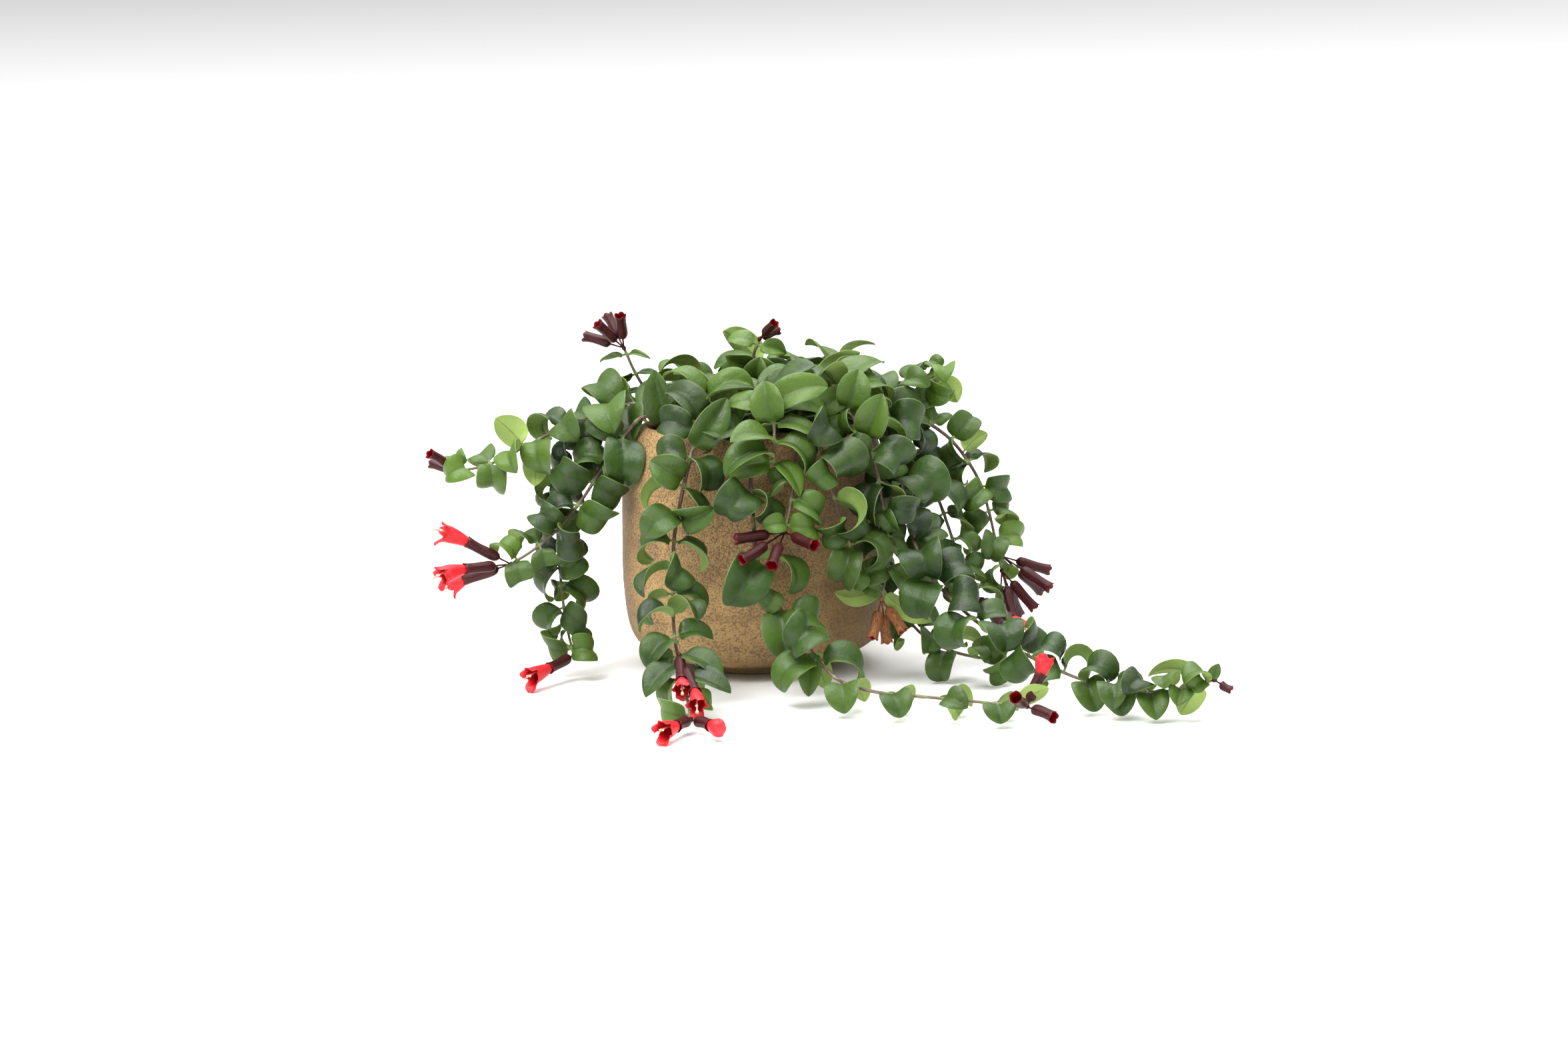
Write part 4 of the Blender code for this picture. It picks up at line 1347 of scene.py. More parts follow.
@dataclass(frozen=True)
class Posed:
    """A leaf given one by one: where on its stem it sits, where its tip reaches and the way its upper side
    looks.

    Its other numbers are as in Leaf, but curl is in degrees and straight is the share that doesn't curl.
    """

    at: float
    tip: Point
    face: Point
    width: float
    curl: float
    youth: float
    fold: float = 0.38
    wave: float = 0.3
    straight: float = 0.12
    tries: int = 6

    def leaf(self, stem: Stem) -> Leaf:
        """Bends a leaf until its tip is in place.

        Args:
            stem: The stem that it grows on.

        Returns:
            The leaf.
        """
        seat = stem.at(self.at)[0]
        chord = Vector(self.tip) - seat
        out, length = chord.normalized(), chord.length
        for _ in range(self.tries):
            leaf = Leaf(
                seat=seat, out=out, face=straight_cut(Vector(self.face), out), length=length,
                width=self.width, reach=length * self.straight, curl=math.radians(self.curl), fold=self.fold,
                wave=self.wave, youth=self.youth,
            )
            end = Vector(leaf.midrib(np.array([1.0]))[0][0]) - seat
            out = (end.rotation_difference(chord) @ out).normalized()
            length *= chord.length / end.length
        return leaf


POSED = {
    "trail_left_middle": (
        Posed(26, (-70, -34, 225), (-0.4, -1, 0.15), width=28, curl=35, youth=0.3),
    ),
    "trail_front_left": (
        Posed(84, (-17, -92, 209), (0.35, -1, 0.2), width=25, curl=40, youth=0.35),
        Posed(106, (-72, -112, 168), (-0.35, -1, 0.3), width=26, curl=85, youth=0.45),
        Posed(62, (-11, -99, 178), (0.1, -0.8, 0.8), width=24, curl=60, youth=0.2),
        Posed(235, (-75, -188, 33), (-0.2, -0.6, 1), width=25, curl=100, youth=0.15),
        Posed(258, (-76, -212, 18), (-0.1, -0.5, 1), width=22, curl=60, youth=0.05, fold=0.3),
        Posed(250, (-24, -200, 26), (0.3, -0.5, 1), width=22, curl=70, youth=0.15, fold=0.3),
        Posed(272, (-18, -216, 20), (0.5, -0.6, 0.8), width=22, curl=50, youth=0.05),
    ),
    "crown_front_middle": (
        Posed(77, (10, -90, 220), (-0.25, -1, 0.25), width=26, curl=60, youth=0.7),
        Posed(100, (-19, -122, 156), (-0.2, -0.7, 1), width=25, curl=110, youth=0.4),
    ),
    "trail_front_right": (
        Posed(50, (31, -62, 224), (0.15, -1, 0.35), width=28, curl=45, youth=0.6),
        Posed(76, (78, -62, 224), (0.1, -1, 0.3), width=26, curl=50, youth=0.65),
        Posed(103, (94, -90, 209), (-0.15, -1, 0.2), width=26, curl=40, youth=0.7),
        Posed(213, (56, -112, 70), (-0.1, 0.75, -0.7), width=15, curl=80, youth=1, fold=0.15),
        Posed(216, (125, -108, 47), (0.1, 0.75, -0.7), width=14, curl=70, youth=1, fold=0.15),
    ),
    "shoot_top": (
        Posed(50, (7, 0, 229), (-0.1, -1, 0.4), width=22, curl=80, youth=0.5),
    ),
    "crown_back": (
        Posed(50, (-36, 25, 190), (-0.1, -0.8, 0.8), width=24, curl=45, youth=0.35),
    ),
    "crown_left": (
        Posed(34, (-29, -28, 183), (0, -0.7, 0.9), width=22, curl=50, youth=0.35),
    ),
    "trail_left_high": (
        Posed(66, (-88, -30, 172), (-0.2, -1, 0.4), width=28, curl=45, youth=0.3),
        Posed(149, (-189, -18, 191), (0.1, 1, 0.2), width=23, curl=50, youth=1, fold=0.2),
        Posed(141, (-161, -28, 141), (0.1, 1, 0.1), width=20, curl=30, youth=1, fold=0.2),
    ),
    "shoot_right_top": (
        Posed(126, (153, 8, 191), (0.1, 1, 0.1), width=17, curl=30, youth=1, fold=0.2),
    ),
    "trail_right_far": (
        Posed(136, (174, 4, 168), (-0.2, 1, 0.5), width=18, curl=70, youth=1, fold=0.2),
    ),
    "trail_front_floor": (
        Posed(416, (194, -264, 28), (0.1, 1, 0.3), width=13, curl=40, youth=1, fold=0.2),
        Posed(60, (-30, -100, 180), (0, -0.8, 0.8), width=24, curl=60, youth=0.2),
        Posed(199, (20, -146, 28), (0, -1, 0.4), width=32, curl=75, youth=0.45, fold=0.4),
        Posed(243, (35, -174, 8), (0, -1, 0.4), width=18, curl=70, youth=0.55, fold=0.4),
        Posed(243, (48, -168, 12), (0, 1, 0.2), width=16, curl=60, youth=1, fold=0.2),
        Posed(290, (59, -216, 4), (-0.2, -1, 0.5), width=26, curl=95, youth=0.5),
        Posed(328, (96, -234, 4), (0.1, -1, 0.5), width=24, curl=110, youth=0.3),
        Posed(292, (74, -188, 6), (0.3, 1, 0.5), width=19, curl=80, youth=0.7, fold=0.3),
        Posed(330, (104, -204, 6), (0.2, 1, 0.5), width=20, curl=80, youth=0.6, fold=0.3),
        Posed(366, (146, -214, 6), (0.2, 1, 0.5), width=19, curl=80, youth=0.6, fold=0.3),
        Posed(402, (176, -232, 6), (0.2, 1, 0.5), width=18, curl=70, youth=0.6, fold=0.3),
        Posed(364, (141, -247, 12), (0, -1, 0.8), width=20, curl=60, youth=0.35),
        Posed(368, (134, -247, 6), (0.2, 1, 0.3), width=14, curl=90, youth=1, fold=0.2),
        Posed(404, (162, -262, 4), (0, -1, 0.5), width=24, curl=90, youth=0.3),
    ),
    "trail_right_long": (
        Posed(350, (229, -226, 3), (0, -1, 0.5), width=25, curl=110, youth=0.45),
        Posed(376, (245, -243, 3), (0, -1, 0.5), width=25, curl=100, youth=0.3),
        Posed(400, (266, -258, 3), (0.1, -1, 0.4), width=24, curl=70, youth=0.55),
        Posed(424, (279, -262, 13), (-0.1, -1, 0.4), width=18, curl=70, youth=0.5),
        Posed(440, (263, -240, 29), (0, 1, 0.7), width=14, curl=110, youth=0.8, fold=0.2),
        Posed(440, (283, -252, 5), (0, 1, 0.2), width=20, curl=60, youth=1, fold=0.2),
        Posed(443, (309, -252, 39), (0.2, -1, 0.6), width=8, curl=40, youth=0.5, fold=0.3),
    ),
}


BLADE = np.array([
    -0.13, -0.07, -0.01, 0.025, 0.06, 0.11, 0.17, 0.24, 0.31, 0.38, 0.45, 0.52, 0.59, 0.66, 0.73, 0.79, 0.85,
    0.9, 0.94, 0.97, 0.99, 1.0,
])
ACROSS = np.array([-1, -0.94, -0.76, -0.48, -0.22, -0.07, 0, 0.07, 0.22, 0.48, 0.76, 0.94, 1])
TEST_BLADE = np.array([0.06, 0.16, 0.3, 0.45, 0.6, 0.75, 0.88, 0.99])
TEST_ACROSS = np.array([-1, -0.5, 0, 0.5, 1])


class Room:
    """What already stands in place, so that a new leaf grows clear of it."""

    def __init__(self) -> None:
        """Starts empty, with the faces of a leaf's test outline, which has a flat cap at each end."""
        self.lowest: list[np.ndarray] = []
        self.highest: list[np.ndarray] = []
        self.trees: list[BVHTree] = []
        many, around = len(TEST_BLADE), 2 * len(TEST_ACROSS)
        grid = np.arange(many * around).reshape(many, around)
        turned = np.roll(grid, -1, axis=1)
        sides = np.stack([grid[:-1], turned[:-1], turned[1:], grid[1:]], axis=-1).reshape(-1, 4)
        self.leaf_faces = [*sides.tolist(), grid[0, ::-1].tolist(), grid[-1].tolist()]

    def add(self, points: np.ndarray, faces: Sequence[Sequence[int]]) -> None:
        """Puts a surface in place.

        Args:
            points: Its points, in millimetres.
            faces: Its faces.
        """
        self.lowest.append(points.min(axis=0))
        self.highest.append(points.max(axis=0))
        self.trees.append(BVHTree.FromPolygons(points.tolist(), faces))

    def add_piece(self, piece: bpy.types.Object) -> None:
        """Puts a finished piece in place.

        Args:
            piece: The piece.
        """
        flat = np.empty(len(piece.data.vertices) * 3)
        piece.data.vertices.foreach_get("co", flat)
        self.add(flat.reshape(-1, 3) / MM, [tuple(polygon.vertices) for polygon in piece.data.polygons])

    def add_leaf(self, leaf: Leaf, swell: float = 0.0) -> None:
        """Puts a leaf in place, with some free space round it."""
        self.add(leaf.rings(TEST_BLADE, TEST_ACROSS, swell).reshape(-1, 3), self.leaf_faces)

    def free(self, leaf: Leaf, swell: float, floor: float) -> bool:
        """Tells whether a leaf's place is free.

        Args:
            leaf: The leaf.
            swell: How much free space it needs round it.
            floor: The lowest that it may reach.

        Returns:
            Whether it is.
        """
        points = leaf.rings(TEST_BLADE, TEST_ACROSS, swell).reshape(-1, 3)
        low, high = points.min(axis=0), points.max(axis=0)
        if low[2] < floor:
            return False
        near = np.all((np.array(self.lowest) <= high) & (np.array(self.highest) >= low), axis=1)
        tree = BVHTree.FromPolygons(points.tolist(), self.leaf_faces)
        return not any(tree.overlap(self.trees[i]) for i in np.flatnonzero(near))


@dataclass
class LeafSet:
    """The leaves of one trail: those listed one by one, and those that chance places where they find room.

    Angles are in degrees. Every other pair is tilted by steep, and the rest by flat, give or take scatter.
    A leaf swings round its own line, and a turned share of them by turn more. The pairs from old on grow
    shorter towards the tip, and those from fresh on paler.
    """

    stem: Stem
    room: Room
    attempts: int = 60
    swell: float = 0.05
    floor: float = 0.4
    steep: float = 46.0
    flat: float = 12.0
    scatter: float = 18.0
    swing: float = 28.0
    turned: float = 0.28
    turn: float = 62.0
    old: float = 0.35
    fresh: float = 0.75
    paling: float = 0.55

    def __post_init__(self) -> None:
        """Puts the listed leaves in place."""
        self.posed = [posed.leaf(self.stem) for posed in POSED.get(self.stem.trail.name, ())]
        for leaf in self.posed:
            self.room.add_leaf(leaf)

    def draw(self, rng: random.Random, distance: float, side: int, number: int, attempt: int) -> Leaf:
        """One way in which a leaf could leave the stem: later attempts are smaller and freer.

        Args:
            rng: The trail's own source of chance.
            distance: Where on the stem.
            side: -1 or 1.
            number: The pair's number.
            attempt: How many ways were tried before.

        Returns:
            The leaf.
        """
        trail = self.stem.trail
        point, tangent, normal = self.stem.at(distance)
        age = distance / self.stem.length
        ease = attempt / self.attempts
        length = trail.leaf + (trail.tip_leaf - trail.leaf) * max(0.0, age - self.old) / (1 - self.old)
        length *= rng.uniform(0.94, 1.08) * (1 - 0.36 * ease)
        tilt = (self.steep if number % 2 else self.flat) + trail.cover
        tilt = math.radians(tilt + rng.uniform(-self.scatter, self.scatter) * (1 + ease))
        out = normal.cross(tangent) * side * math.cos(tilt) + normal * math.sin(tilt)
        out += tangent * rng.uniform(-0.3, 0.45) - UP * rng.uniform(0.0, 0.3)
        out.normalize()
        face = straight_cut(normal * 0.8 + UP * 0.5 + tangent * 0.15, out)
        swing = rng.uniform(-self.swing, self.swing) * (1 + ease)
        if rng.random() < self.turned:
            swing += rng.choice((-self.turn, self.turn))
        paled = self.paling * max(0.0, age - self.fresh) / (1 - self.fresh)
        return Leaf(
            seat=point,
            out=out,
            face=Matrix.Rotation(math.radians(swing), 3, out) @ face,
            length=length,
            width=length * rng.uniform(0.6, 0.7) * (1 - 0.15 * ease) * trail.slim,
            reach=length * rng.uniform(0.14, 0.25),
            curl=math.radians(rng.uniform(*trail.curl)),
            fold=rng.uniform(0.1, 0.46),
            spiral=rng.uniform(-4, 4),
            twist=rng.uniform(-0.55, 0.55),
            lean=rng.uniform(-0.25, 0.25),
            wave=rng.uniform(0.2, 1.0),
            youth=min(1.0, max(0.0, trail.youth + paled + rng.gauss(0, 0.16))),
            tone=rng.random(),
        )

    def mesh(self, mould: Mould, leaf: Leaf) -> None:
        """Adds a leaf to the mould.

        Args:
            mould: The mould.
            leaf: The leaf.
        """
        rings = leaf.rings(BLADE, ACROSS)
        shape = rings.shape[:2]
        edge = np.abs(np.concatenate([ACROSS, ACROSS[::-1]]))
        upper = np.concatenate([np.ones(len(ACROSS)), np.zeros(len(ACROSS))])
        mould.loft(
            rings,
            across=np.broadcast_to(edge, shape) * (BLADE > 0)[:, None],
            along=np.clip(0.1 + 0.9 * BLADE, 0, 1),
            upper=np.broadcast_to(upper, shape),
            youth=np.full(shape, leaf.youth),
            tone=np.full(shape, leaf.tone),
        )

    def grow(self, rng: random.Random) -> Iterator[Leaf]:
        """Finds a leaf for each side of each pair that has room for one.

        Args:
            rng: The trail's own source of chance.

        Yields:
            The leaves.
        """
        for number, distance in enumerate(self.stem.pairs):
            if distance > self.stem.trail.drawn:
                return
            for side in (-1, 1):
                drawn = (self.draw(rng, distance, side, number, attempt) for attempt in range(self.attempts))
                leaf = next((leaf for leaf in drawn if self.room.free(leaf, self.swell, self.floor)), None)
                if leaf:
                    self.room.add_leaf(leaf, self.swell)
                    yield leaf

    def build(self, material: bpy.types.Material) -> None:
        """Makes the leaves, as one piece.

        Args:
            material: Their finish.
        """
        name = self.stem.trail.name
        mould = Mould(*LEAF_NUMBERS)
        leaves = [*self.posed, *self.grow(random.Random(name))]
        for leaf in leaves:
            self.mesh(mould, leaf)
        settle(mould.cast(f"{name}_leaves", material), [name])
        LOG.info("%s: %d leaves", name, len(leaves))


# ---------------------------------------------------------------- flowers


@dataclass(frozen=True)
class Truss:
    """Calyces on thin stalks from one knot, which sits on a trail's tip or beside its stem.

    mouths are the open ends of the calyces, and calyx is the most that one measures. Each flower is the
    number of its calyx, how far it stands out, and how far it bends aside. buds numbers, from 1, the flowers
    that are still closed, and at is the distance from the tip where the knot sits.
    """

    name: str
    trail: str
    mouths: Sequence[Point]
    flowers: Sequence[tuple[int, float, Point]] = ()
    at: float = 0.0
    calyx: float = 26.0
    ripeness: Ripeness = Ripeness.RIPE
    buds: Sequence[int] = ()


TRUSSES = (
    Truss("calyces_left_high", "trail_left_high", ((-236, -38, 168), (-238, -14, 158)), calyx=16),
    Truss("calyces_left_middle", "trail_left_middle", ((-208, -70, 107), (-209, -88, 90), (-212, -60, 78)),
        ((0, 25, (0, -3, -3)), (1, 25, (0, 0, -5)), (2, 14, (0, 0, -3)))),
    Truss("calyx_left_floor", "trail_left_floor", ((-152, -77, 14),), ((0, 28, (0, 0, 1)),)),
    Truss("calyces_left_tall", "shoot_left_tall",
        ((-96, 6, 262), (-107, 34, 260), (-113, 8, 256), (-124, 24, 246)), calyx=20),
    Truss("calyces_front_upper", "trail_front_left", ((-51, -217, 30), (-42, -227, 24)),
        ((0, 10, (0, 0, -2)), (1, 20, (-4, -3, 0))), at=62),
    Truss("calyces_front_floor", "trail_front_left", ((-54, -266, 9), (-31, -267, 9)),
        ((0, 24, (-2, 0, 0)), (1, 17, (0, 0, 0))), calyx=20, buds=(2,)),
    Truss("calyces_front_right_floor", "trail_front_floor",
        ((190, -250, 34), (171, -278, 25), (196, -274, 10)), ((0, 14, (-3, 3, 0)),), calyx=19),
    Truss("calyces_front_short", "trail_front_short",
        ((-13, -130, 113), (-9, -148, 101), (12, -158, 98), (42, -148, 110)), calyx=24),
    Truss("calyces_front_right", "trail_front_right", ((82, -108, 36), (93, -92, 30), (104, -106, 40)),
        calyx=20, ripeness=Ripeness.YOUNG),
    Truss("calyx_right_long", "trail_right_long", ((316, -256, 22),), calyx=8),
    Truss("calyces_right_near", "trail_right_near", ((186, -48, 36), (178, -18, 30)),
        ((0, 14, (0, 0, -3)),)),
    Truss("calyces_right_far_upper", "trail_right_far", ((218, 0, 64), (217, -22, 54), (213, 14, 46)),
        at=8),
    Truss("calyces_right_far_lower", "trail_right_far",
        ((206, -16, 38), (196, 8, 30), (190, -30, 32), (180, -4, 26))),
    Truss("calyces_top", "shoot_top", ((18, -2, 254), (20, 20, 247)), calyx=14),
)


def above_floor(rings: np.ndarray, lowest: float | np.ndarray = 0.3) -> np.ndarray:
    """Rings with whatever would sink below a height laid flat at it."""
    rings[..., 2] = np.maximum(rings[..., 2], lowest)
    return rings


@dataclass
class CalyxCup:
    """A tubular cup with five short teeth on a thin stalk.

    outside is its outline: shares of its length and of its radius, and how far each ring follows the teeth.
    """

    centre: Vector
    mouth: Vector
    longest: float
    shortest_stalk: float = 3.0
    stalk: float = 0.62
    radius: float = 3.9
    flare: float = 4.5
    wall: float = 0.5
    depth: float = 9.0
    tooth: float = 1.7
    rib: float = 0.035
    sway: float = 0.9
    full_length: float = 20.0
    around: int = 30
    outside: Sequence[tuple[float, float, float]] = (
        (0.0, 0.42, 0), (0.035, 0.72, 0), (0.09, 0.93, 0), (0.2, 1.03, 0), (0.4, 1, 0), (0.62, 0.95, 0),
        (0.8, 0.97, 0.1), (0.92, 1.05, 0.5),
    )

    def __post_init__(self) -> None:
        """Finds the cup's axis, length and scale."""
        span = self.mouth - self.centre
        self.axis = span.normalized()
        self.length = min(self.longest, span.length - self.shortest_stalk)
        self.scale = min(1.0, 0.55 + 0.45 * self.length / self.full_length)
        self.base = self.mouth - self.axis * self.length

    def sections(self) -> list[tuple[float, float, float, float]]:
        """Lays out the cup from the foot of its stalk, up the outside and down the inside.

        Returns:
            For each ring its place on the axis, its radius, 1 where it is inside and its share of a tooth.
        """
        length, wall = self.length, self.wall
        radius, flare = self.radius * self.scale, self.flare * self.scale
        stalk = (self.mouth - self.centre).length - length
        depth = min(self.depth, length * 0.5)
        return [
            (-stalk, self.stalk, 0, 0),
            (-stalk * 0.5, self.stalk, 0, 0),
            (-0.6, self.stalk * 1.15, 0, 0),
            *((length * share, radius * wide, 0, tooth) for share, wide, tooth in self.outside),
            (length, flare, 0, 1),
            (length + 0.15, flare - wall * 0.5, 0, 1),
            (length - 0.1, flare - wall, 0.25, 1),
            (length * 0.93, radius * 1.05 - wall, 1, 0.5),
            (length - depth * 0.6, radius * 0.95 - wall, 1, 0.1),
            (length - depth, radius * 0.6, 1, 0),
        ]

    def build(self, mould: Mould, rng: random.Random) -> None:
        """Adds the cup and its stalk.

        Args:
            mould: The truss's mould.
            rng: Source of chance.
        """
        angles = circle(self.around) + rng.uniform(0, 1.2)
        side, outwards = spokes(self.axis, UP + Vector((0.1, 0.2, 0)), angles)
        teeth = (np.abs(np.cos(2.5 * angles)) ** 0.7 - 0.45)[:, None]
        ribs = 1 + self.rib * np.cos(5 * angles)
        sway = rng.uniform(-self.sway, self.sway)
        base, axis = np.array(self.base), np.array(self.axis)
        sections = self.sections()
        rings = []
        for along, reach, _, toothed in sections:
            share = min(1.0, max(0.0, along / self.length))
            centre = base + axis * along + side * (math.sin(math.pi * share) * sway)
            lift = axis * (teeth * toothed * self.tooth * self.scale)
            rings.append(centre + outwards * (reach * ribs)[:, None] + lift)
        mould.loft(
            above_floor(np.stack(rings)),
            inner=np.array([inner for _, _, inner, _ in sections]),
            along=np.array([along / self.length for along, _, _, _ in sections]),
            turn=np.broadcast_to(angles, (len(sections), self.around)),
        )


@dataclass
class CalyxTruss:
    """The knot and the cups of one truss."""

    truss: Truss
    stem: Stem
    knot: float = 1.7
    stretch: float = 1.25
    gap: float = 0.35
    rings: int = 9
    around: int = 12

    def __post_init__(self) -> None:
        """Finds the middle of the knot, on the tip of the stem or beside it, and the cups round it."""
        distance = self.stem.length - self.truss.at
        point, tangent, _ = self.stem.at(distance)
        mouths = [Vector(mouth) for mouth in self.truss.mouths]
        self.centre = point + tangent * (self.knot + self.gap)
        if self.truss.at:
            towards = straight_cut(sum(mouths, Vector()) / len(mouths) - point, tangent)
            self.centre = point + towards * (self.stem.radius(distance) + self.knot + self.gap)
        self.cups = [CalyxCup(self.centre, mouth, self.truss.calyx) for mouth in mouths]

    def build(self, material: bpy.types.Material) -> bpy.types.Object:
        """Makes the truss.

        Args:
            material: The calyces' finish.

        Returns:
            The truss's piece.
        """
        rng = random.Random(self.truss.name)
        mould = Mould(*FLOWER_NUMBERS)
        for cup in self.cups:
            cup.build(mould, rng)
        steps = np.linspace(-1, 1, self.rings)
        tangent = self.stem.tangents[-1]
        path = [self.centre + tangent * (step * self.knot * self.stretch) for step in steps]
        radii = [self.knot * math.sqrt(max(0.02, 1 - step * step)) for step in steps]
        mould.loft(tube(path, radii, self.around), along=np.full(self.rings, -0.2))
        return settle(mould.cast(f"{self.truss.name}_cups", material), [self.truss.name])


@dataclass
class Corolla:
    """A two-lipped scarlet flower with its stamens and style.

    tube_shares and radii give its tube from inside the cup to the throat. Each lobe has a middle and a half
    width in radians, a reach as a share of the lip's, and how far it turns outwards. notch is how deep and
    how wide the hood's tip is notched.
    """

    name: str
    cup: CalyxCup
    length: float
    bend: Vector
    bud: bool = False
    around: int = 60
    wall: float = 0.45
    floor: float = 0.3
    crinkle: float = 0.5
    tube_shares: Sequence[float] = (-0.18, -0.06, 0.0, 0.1, 0.22, 0.35, 0.48, 0.6)
    radii: Sequence[float] = (2.0, 2.9, 3.4, 3.9, 4.5, 5.1, 5.6, 6.0)
    shortest_lip: float = 5.5
    lip_share: float = 0.36
    lip_rings: int = 9
    lobes: Sequence[tuple[float, float, float, float]] = (
        (0.0, 0.85, 0.95, 0.1), (1.4, 0.72, 0.75, 0.4), (math.pi, 0.85, 1.0, 0.55),
    )
    notch: float = 0.16

    def __post_init__(self) -> None:
        """Lays the middle of the tube, and the directions round its mouth from the hood's side."""
        self.spine = []
        for share in self.tube_shares:
            along = self.cup.axis * (self.length * share)
            self.spine.append(self.cup.mouth + along + self.bend * (max(0.0, share) ** 2))
        self.heading = (self.spine[-1] - self.spine[-2]).normalized()
        self.throat = np.array(self.spine[-1])
        self.angles = circle(self.around)
        self.up, self.outwards = spokes(self.heading, UP, self.angles)
        self.oval = np.cos(self.angles)[:, None] ** 2 * 0.16 + 0.9

    def edge(self) -> tuple[np.ndarray, np.ndarray]:
        """The lip's edge: hood, two sides and tongue.

        Returns:
            How long the lip is at each angle, as a share of its reach, and how far it turns outwards.
        """
        away = np.abs((self.angles + math.pi) % (2 * math.pi) - math.pi)
        length, flare = np.full_like(away, 0.3), np.zeros_like(away)
        for middle, half, reach, turn in self.lobes:
            round_end = np.sqrt(np.maximum(0.0, 1 - ((away - middle) / half) ** 2))
            length = np.maximum(length, reach * round_end)
            flare += turn * round_end
        return length * (1 - self.notch * np.exp(-((away / self.notch) ** 2))), flare

    def folded(self, step: float, reach: float) -> tuple[np.ndarray, np.ndarray]:
        """A bud's lip, folded into a point.

        Args:
            step: Where on the lip, from 0 to 1.
            reach: The lip's reach.

        Returns:
            How far it stands aside of the heading at each angle, and how far ahead.
        """
        arc = step * math.pi / 2
        crease = (self.angles * 2.5 / math.pi + 0.4 * step) % 1 - 0.5
        aside = self.radii[-1] * self.oval[:, 0] * max(0.04, math.cos(arc) ** 0.8)
        ahead = np.full_like(self.angles, reach * math.sin(arc))
        return aside * (1 + 0.16 * math.sin(2 * arc) * crease), ahead

    def opened(self, step: float, reach: float, phase: float) -> tuple[np.ndarray, np.ndarray]:
        """An open flower's lip, crinkled towards its edge.

        Args:
            step: Where on the lip, from 0 to 1.
            reach: The lip's reach.
            phase: Where the crinkles start, in radians.

        Returns:
            How far it stands aside of the heading at each angle, and how far ahead.
        """
        length, flare = self.edge()
        turn, run = flare * step**1.2, length * reach * step
        ripple = np.sin(6 * self.angles + phase + 2 * step)
        ripple = ripple + 0.7 * np.sin(11 * self.angles - phase + 3 * step)
        aside = self.radii[-1] * self.oval[:, 0] + run * np.sin(turn) + self.crinkle * step * ripple
        return aside, run * np.cos(turn) + 0.5 * self.crinkle * step * np.roll(ripple, 3)

    def rings(self) -> list[tuple[np.ndarray, int, float]]:
        """Lays out the petals from inside the cup, out to the lip and back down the throat.

        Returns:
            For each ring its points, 1 where it is inside, and its share of the flower's length.
        """
        shares = np.linspace(0, 0.6, len(self.spine))
        outside = [(np.array(point) + self.outwards * radius * self.oval, 0, share)
                   for point, radius, share in zip(self.spine, self.radii, shares)]
        reach = max(self.shortest_lip, self.length * self.lip_share)
        phase = 2 * math.pi * random.Random(self.name).random()
        lip = []
        for step in np.linspace(0.12, 1, self.lip_rings):
            aside, ahead = self.folded(step, reach) if self.bud else self.opened(step, reach, phase)
            ring = self.throat + np.array(self.heading) * ahead[:, None] + self.outwards * aside[:, None]
            lip.append((ring, 0, 0.6 + 0.4 * step))
        core = self.throat + np.array(self.heading) * 0.5
        inside = []
        for ring, _, share in lip[::-1]:
            inward = core - ring
            inward /= np.linalg.norm(inward, axis=1)[:, None]
            inside.append((ring + inward * self.wall, 1, share))
        for index in (-1, -3, -5):
            ring = np.array(self.spine[index]) + self.outwards * (self.radii[index] - self.wall) * self.oval
            inside.append((ring, 1, 0.6 + 0.08 * index))
        return outside + lip + inside

    def build(self, petal: bpy.types.Material, thread: bpy.types.Material) -> list[bpy.types.Object]:
        """Makes the petals and, unless it is a bud, the threads.

        Args:
            petal: Finish of the petals.
            thread: Finish of the stamens and style.

        Returns:
            The flower's pieces.
        """
        rings = self.rings()
        points = np.stack([ring for ring, _, _ in rings])
        inner = np.array([inner for _, inner, _ in rings])
        mould = Mould(*FLOWER_NUMBERS)
        mould.loft(
            above_floor(points, self.floor + inner[:, None] * self.wall),
            inner=inner,
            along=np.array([share for _, _, share in rings]),
            turn=np.broadcast_to(self.angles, points.shape[:2]),
        )
        petals = settle(mould.cast(f"{self.name}_petals", petal), [self.name])
        return [petals] if self.bud else [petals, self.threads(thread)]

    def threads(self, thread: bpy.types.Material) -> bpy.types.Object:
        """Makes the two stamens and the longer style, under the hood.

        Args:
            thread: Their finish.

        Returns:
            The piece.
        """
        mould = Mould("along")
        rng = random.Random(self.name)
        high = Vector(self.up)
        side = self.heading.cross(high)
        start, throat = self.spine[3], self.spine[-1]
        for style in (False, False, True):
            spread = 0.2 if style else rng.uniform(-1.6, 1.6)
            far = self.length * (0.95 if style else 0.5) + rng.uniform(-1, 1)
            end = throat + self.heading * far * 0.62 + high * 1.6 + side * spread
            end -= UP * (2.0 if style else 0.4)
            under = throat + high * 1.8 + side * spread * 0.5
            route = smooth_points([tuple(start), tuple(under), tuple(end)], 1.2)
            shares = np.linspace(0, 1, len(route))
            radii = np.where(shares > 0.9, 1.15 if style else 0.7, 0.6 if style else 0.36)
            mould.loft(above_floor(tube(route, list(radii), 8)), along=shares)
        return settle(mould.cast(f"{self.name}_stamens", thread))


# ---------------------------------------------------------------- stage


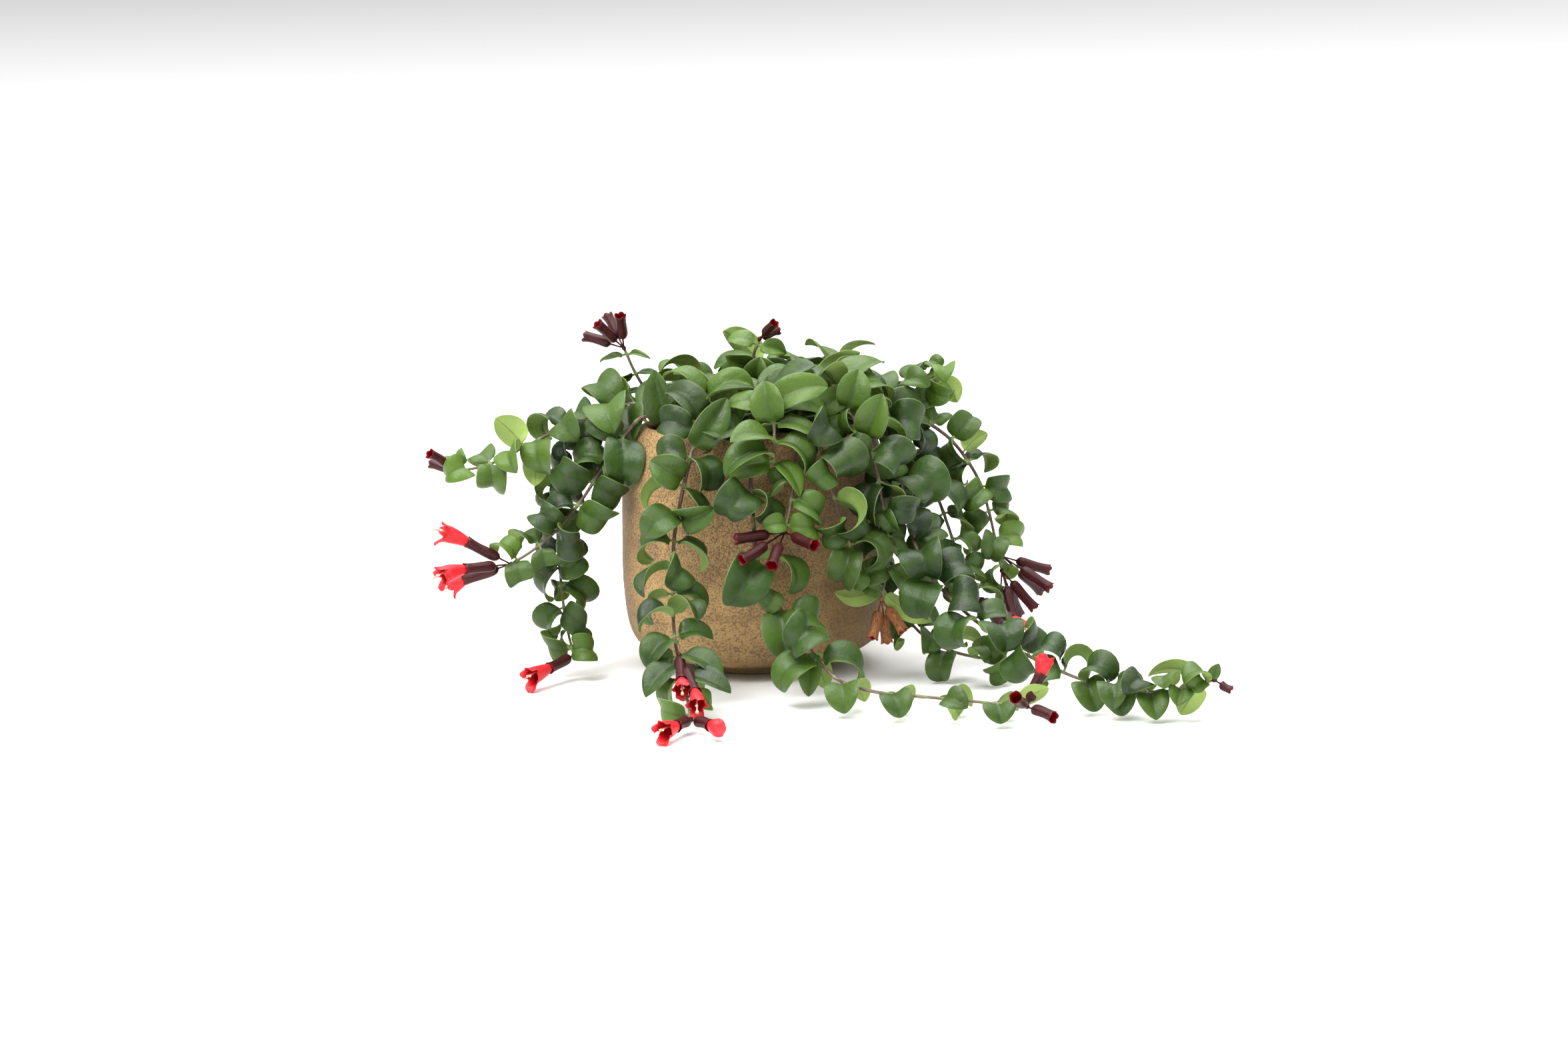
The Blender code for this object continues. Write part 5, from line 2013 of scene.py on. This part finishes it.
@dataclass
class Studio:
    """A white surface, a sky, soft lamps and the camera. Lengths here are in metres and angles in degrees.

    Each lamp has a name, a place, a width and a power. The sky's brightness is given at heights from 0 to 1.
    """

    surface: float = 60.0
    lens: float = 70.0
    sensor: float = 36.0
    pitch: float = 8.3
    roll: float = 1.5
    stand: Point = (0.02125, -2.25, 0.43328)
    aim: Point = (0, 0, 0.1)
    lamps: Sequence[tuple[str, Point, float, float]] = (
        ("key", (-1.0, -1.25, 2.15), 1.1, 56),
        ("fill", (1.6, -1.5, 1.2), 0.9, 1),
        ("top", (0.2, 0.5, 2.3), 1.6, 36),
    )
    sky: Outline = ((0.0, 1.05), (0.06, 0.32), (0.35, 0.36), (1.0, 3.0))

    def floor(self) -> None:
        """Lays the surface."""
        size = self.surface
        mesh = bpy.data.meshes.new("floor")
        points = [(-size, -size, 0), (size, -size, 0), (size, size, 0), (-size, size, 0)]
        mesh.from_pydata(points, [], [(0, 1, 2, 3)])
        new_piece("floor", mesh, WhiteSurface().material())

    def lamp(self, name: str, place: Point, size: float, power: float) -> None:
        """Hangs a soft lamp that points at the plant.

        Args:
            name: The lamp's name.
            place: Where it hangs.
            size: Its width.
            power: Its power.
        """
        data = bpy.data.lights.new(name, "AREA")
        data.shape = "SQUARE"
        data.size = size
        data.energy = power
        lamp = linked(name, data)
        lamp.location = place
        lamp.rotation_euler = (Vector(self.aim) - Vector(place)).to_track_quat("-Z", "Y").to_euler()

    def camera(self) -> None:
        """Sets the camera up in front of the plant."""
        data = bpy.data.cameras.new("camera")
        data.lens = self.lens
        data.sensor_width = self.sensor
        camera = linked("camera", data)
        tilt, roll = math.radians(self.pitch), math.radians(self.roll)
        across = Vector((1, 0, 0))
        ahead = Vector((0, math.cos(tilt), -math.sin(tilt)))
        above = Vector((0, math.sin(tilt), math.cos(tilt)))
        right = across * math.cos(roll) - above * math.sin(roll)
        above = across * math.sin(roll) + above * math.cos(roll)
        turned = Matrix((right, above, -ahead)).transposed().to_4x4()
        camera.matrix_world = Matrix.Translation(Vector(self.stand)) @ turned
        bpy.context.scene.camera = camera

    def world(self) -> None:
        """Makes the sky, whose brightness changes with height."""
        world = bpy.data.worlds.new("studio")
        world.use_nodes = True
        nodes = Nodes(world.node_tree)
        height = nodes.parts(nodes.node("ShaderNodeTexCoord").outputs["Generated"])[2]
        ramp = nodes.node("ShaderNodeValToRGB", {}, {0: height})
        stops = ramp.color_ramp.elements
        while len(stops) < len(self.sky):
            stops.new(0.5)
        for stop, (place, bright) in zip(stops, self.sky):
            stop.position = place
            stop.color = (bright, bright, bright, 1.0)
        sky = next(node for node in world.node_tree.nodes if node.type == "BACKGROUND")
        nodes.feed(sky.inputs["Color"], (1.0, 1.0, 1.0))
        nodes.feed(sky.inputs["Strength"], ramp)
        bpy.context.scene.world = world
        bpy.context.scene.view_settings.view_transform = "Standard"

    def build(self) -> None:
        """Sets the stage."""
        self.floor()
        for lamp in self.lamps:
            self.lamp(*lamp)
        self.world()
        self.camera()


# ---------------------------------------------------------------- the plant


def main() -> None:
    """Builds every piece in order."""
    logging.basicConfig(level=logging.INFO, format="%(message)s")
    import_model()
    Studio().build()
    room = Room()
    room.add_piece(Pot().build())
    room.add_piece(SoilBed().build())
    bark = Bark().material()
    stems = {trail.name: Stem(trail) for trail in TRAILS}
    for stem in stems.values():
        room.add_piece(stem.build(bark))
    skins = {ripeness: CalyxSkin(ripeness).material() for ripeness in Ripeness}
    petal, thread = Petal().material(), Thread().material()
    for truss in TRUSSES:
        made = CalyxTruss(truss, stems[truss.trail])
        room.add_piece(made.build(skins[truss.ripeness]))
        place = truss.name.split("_", 1)[1]
        for number, (calyx, length, bend) in enumerate(truss.flowers, 1):
            name = f"corolla_{place}_{number}"
            flower = Corolla(name, made.cups[calyx], length, Vector(bend), number in truss.buds)
            for piece in flower.build(petal, thread):
                room.add_piece(piece)
    leaf = Foliage().material()
    # Every listed leaf takes its place before chance places any.
    leaf_sets = [LeafSet(stem, room) for stem in stems.values()]
    for leaf_set in leaf_sets:
        leaf_set.build(leaf)


if __name__ == "__main__":
    main()
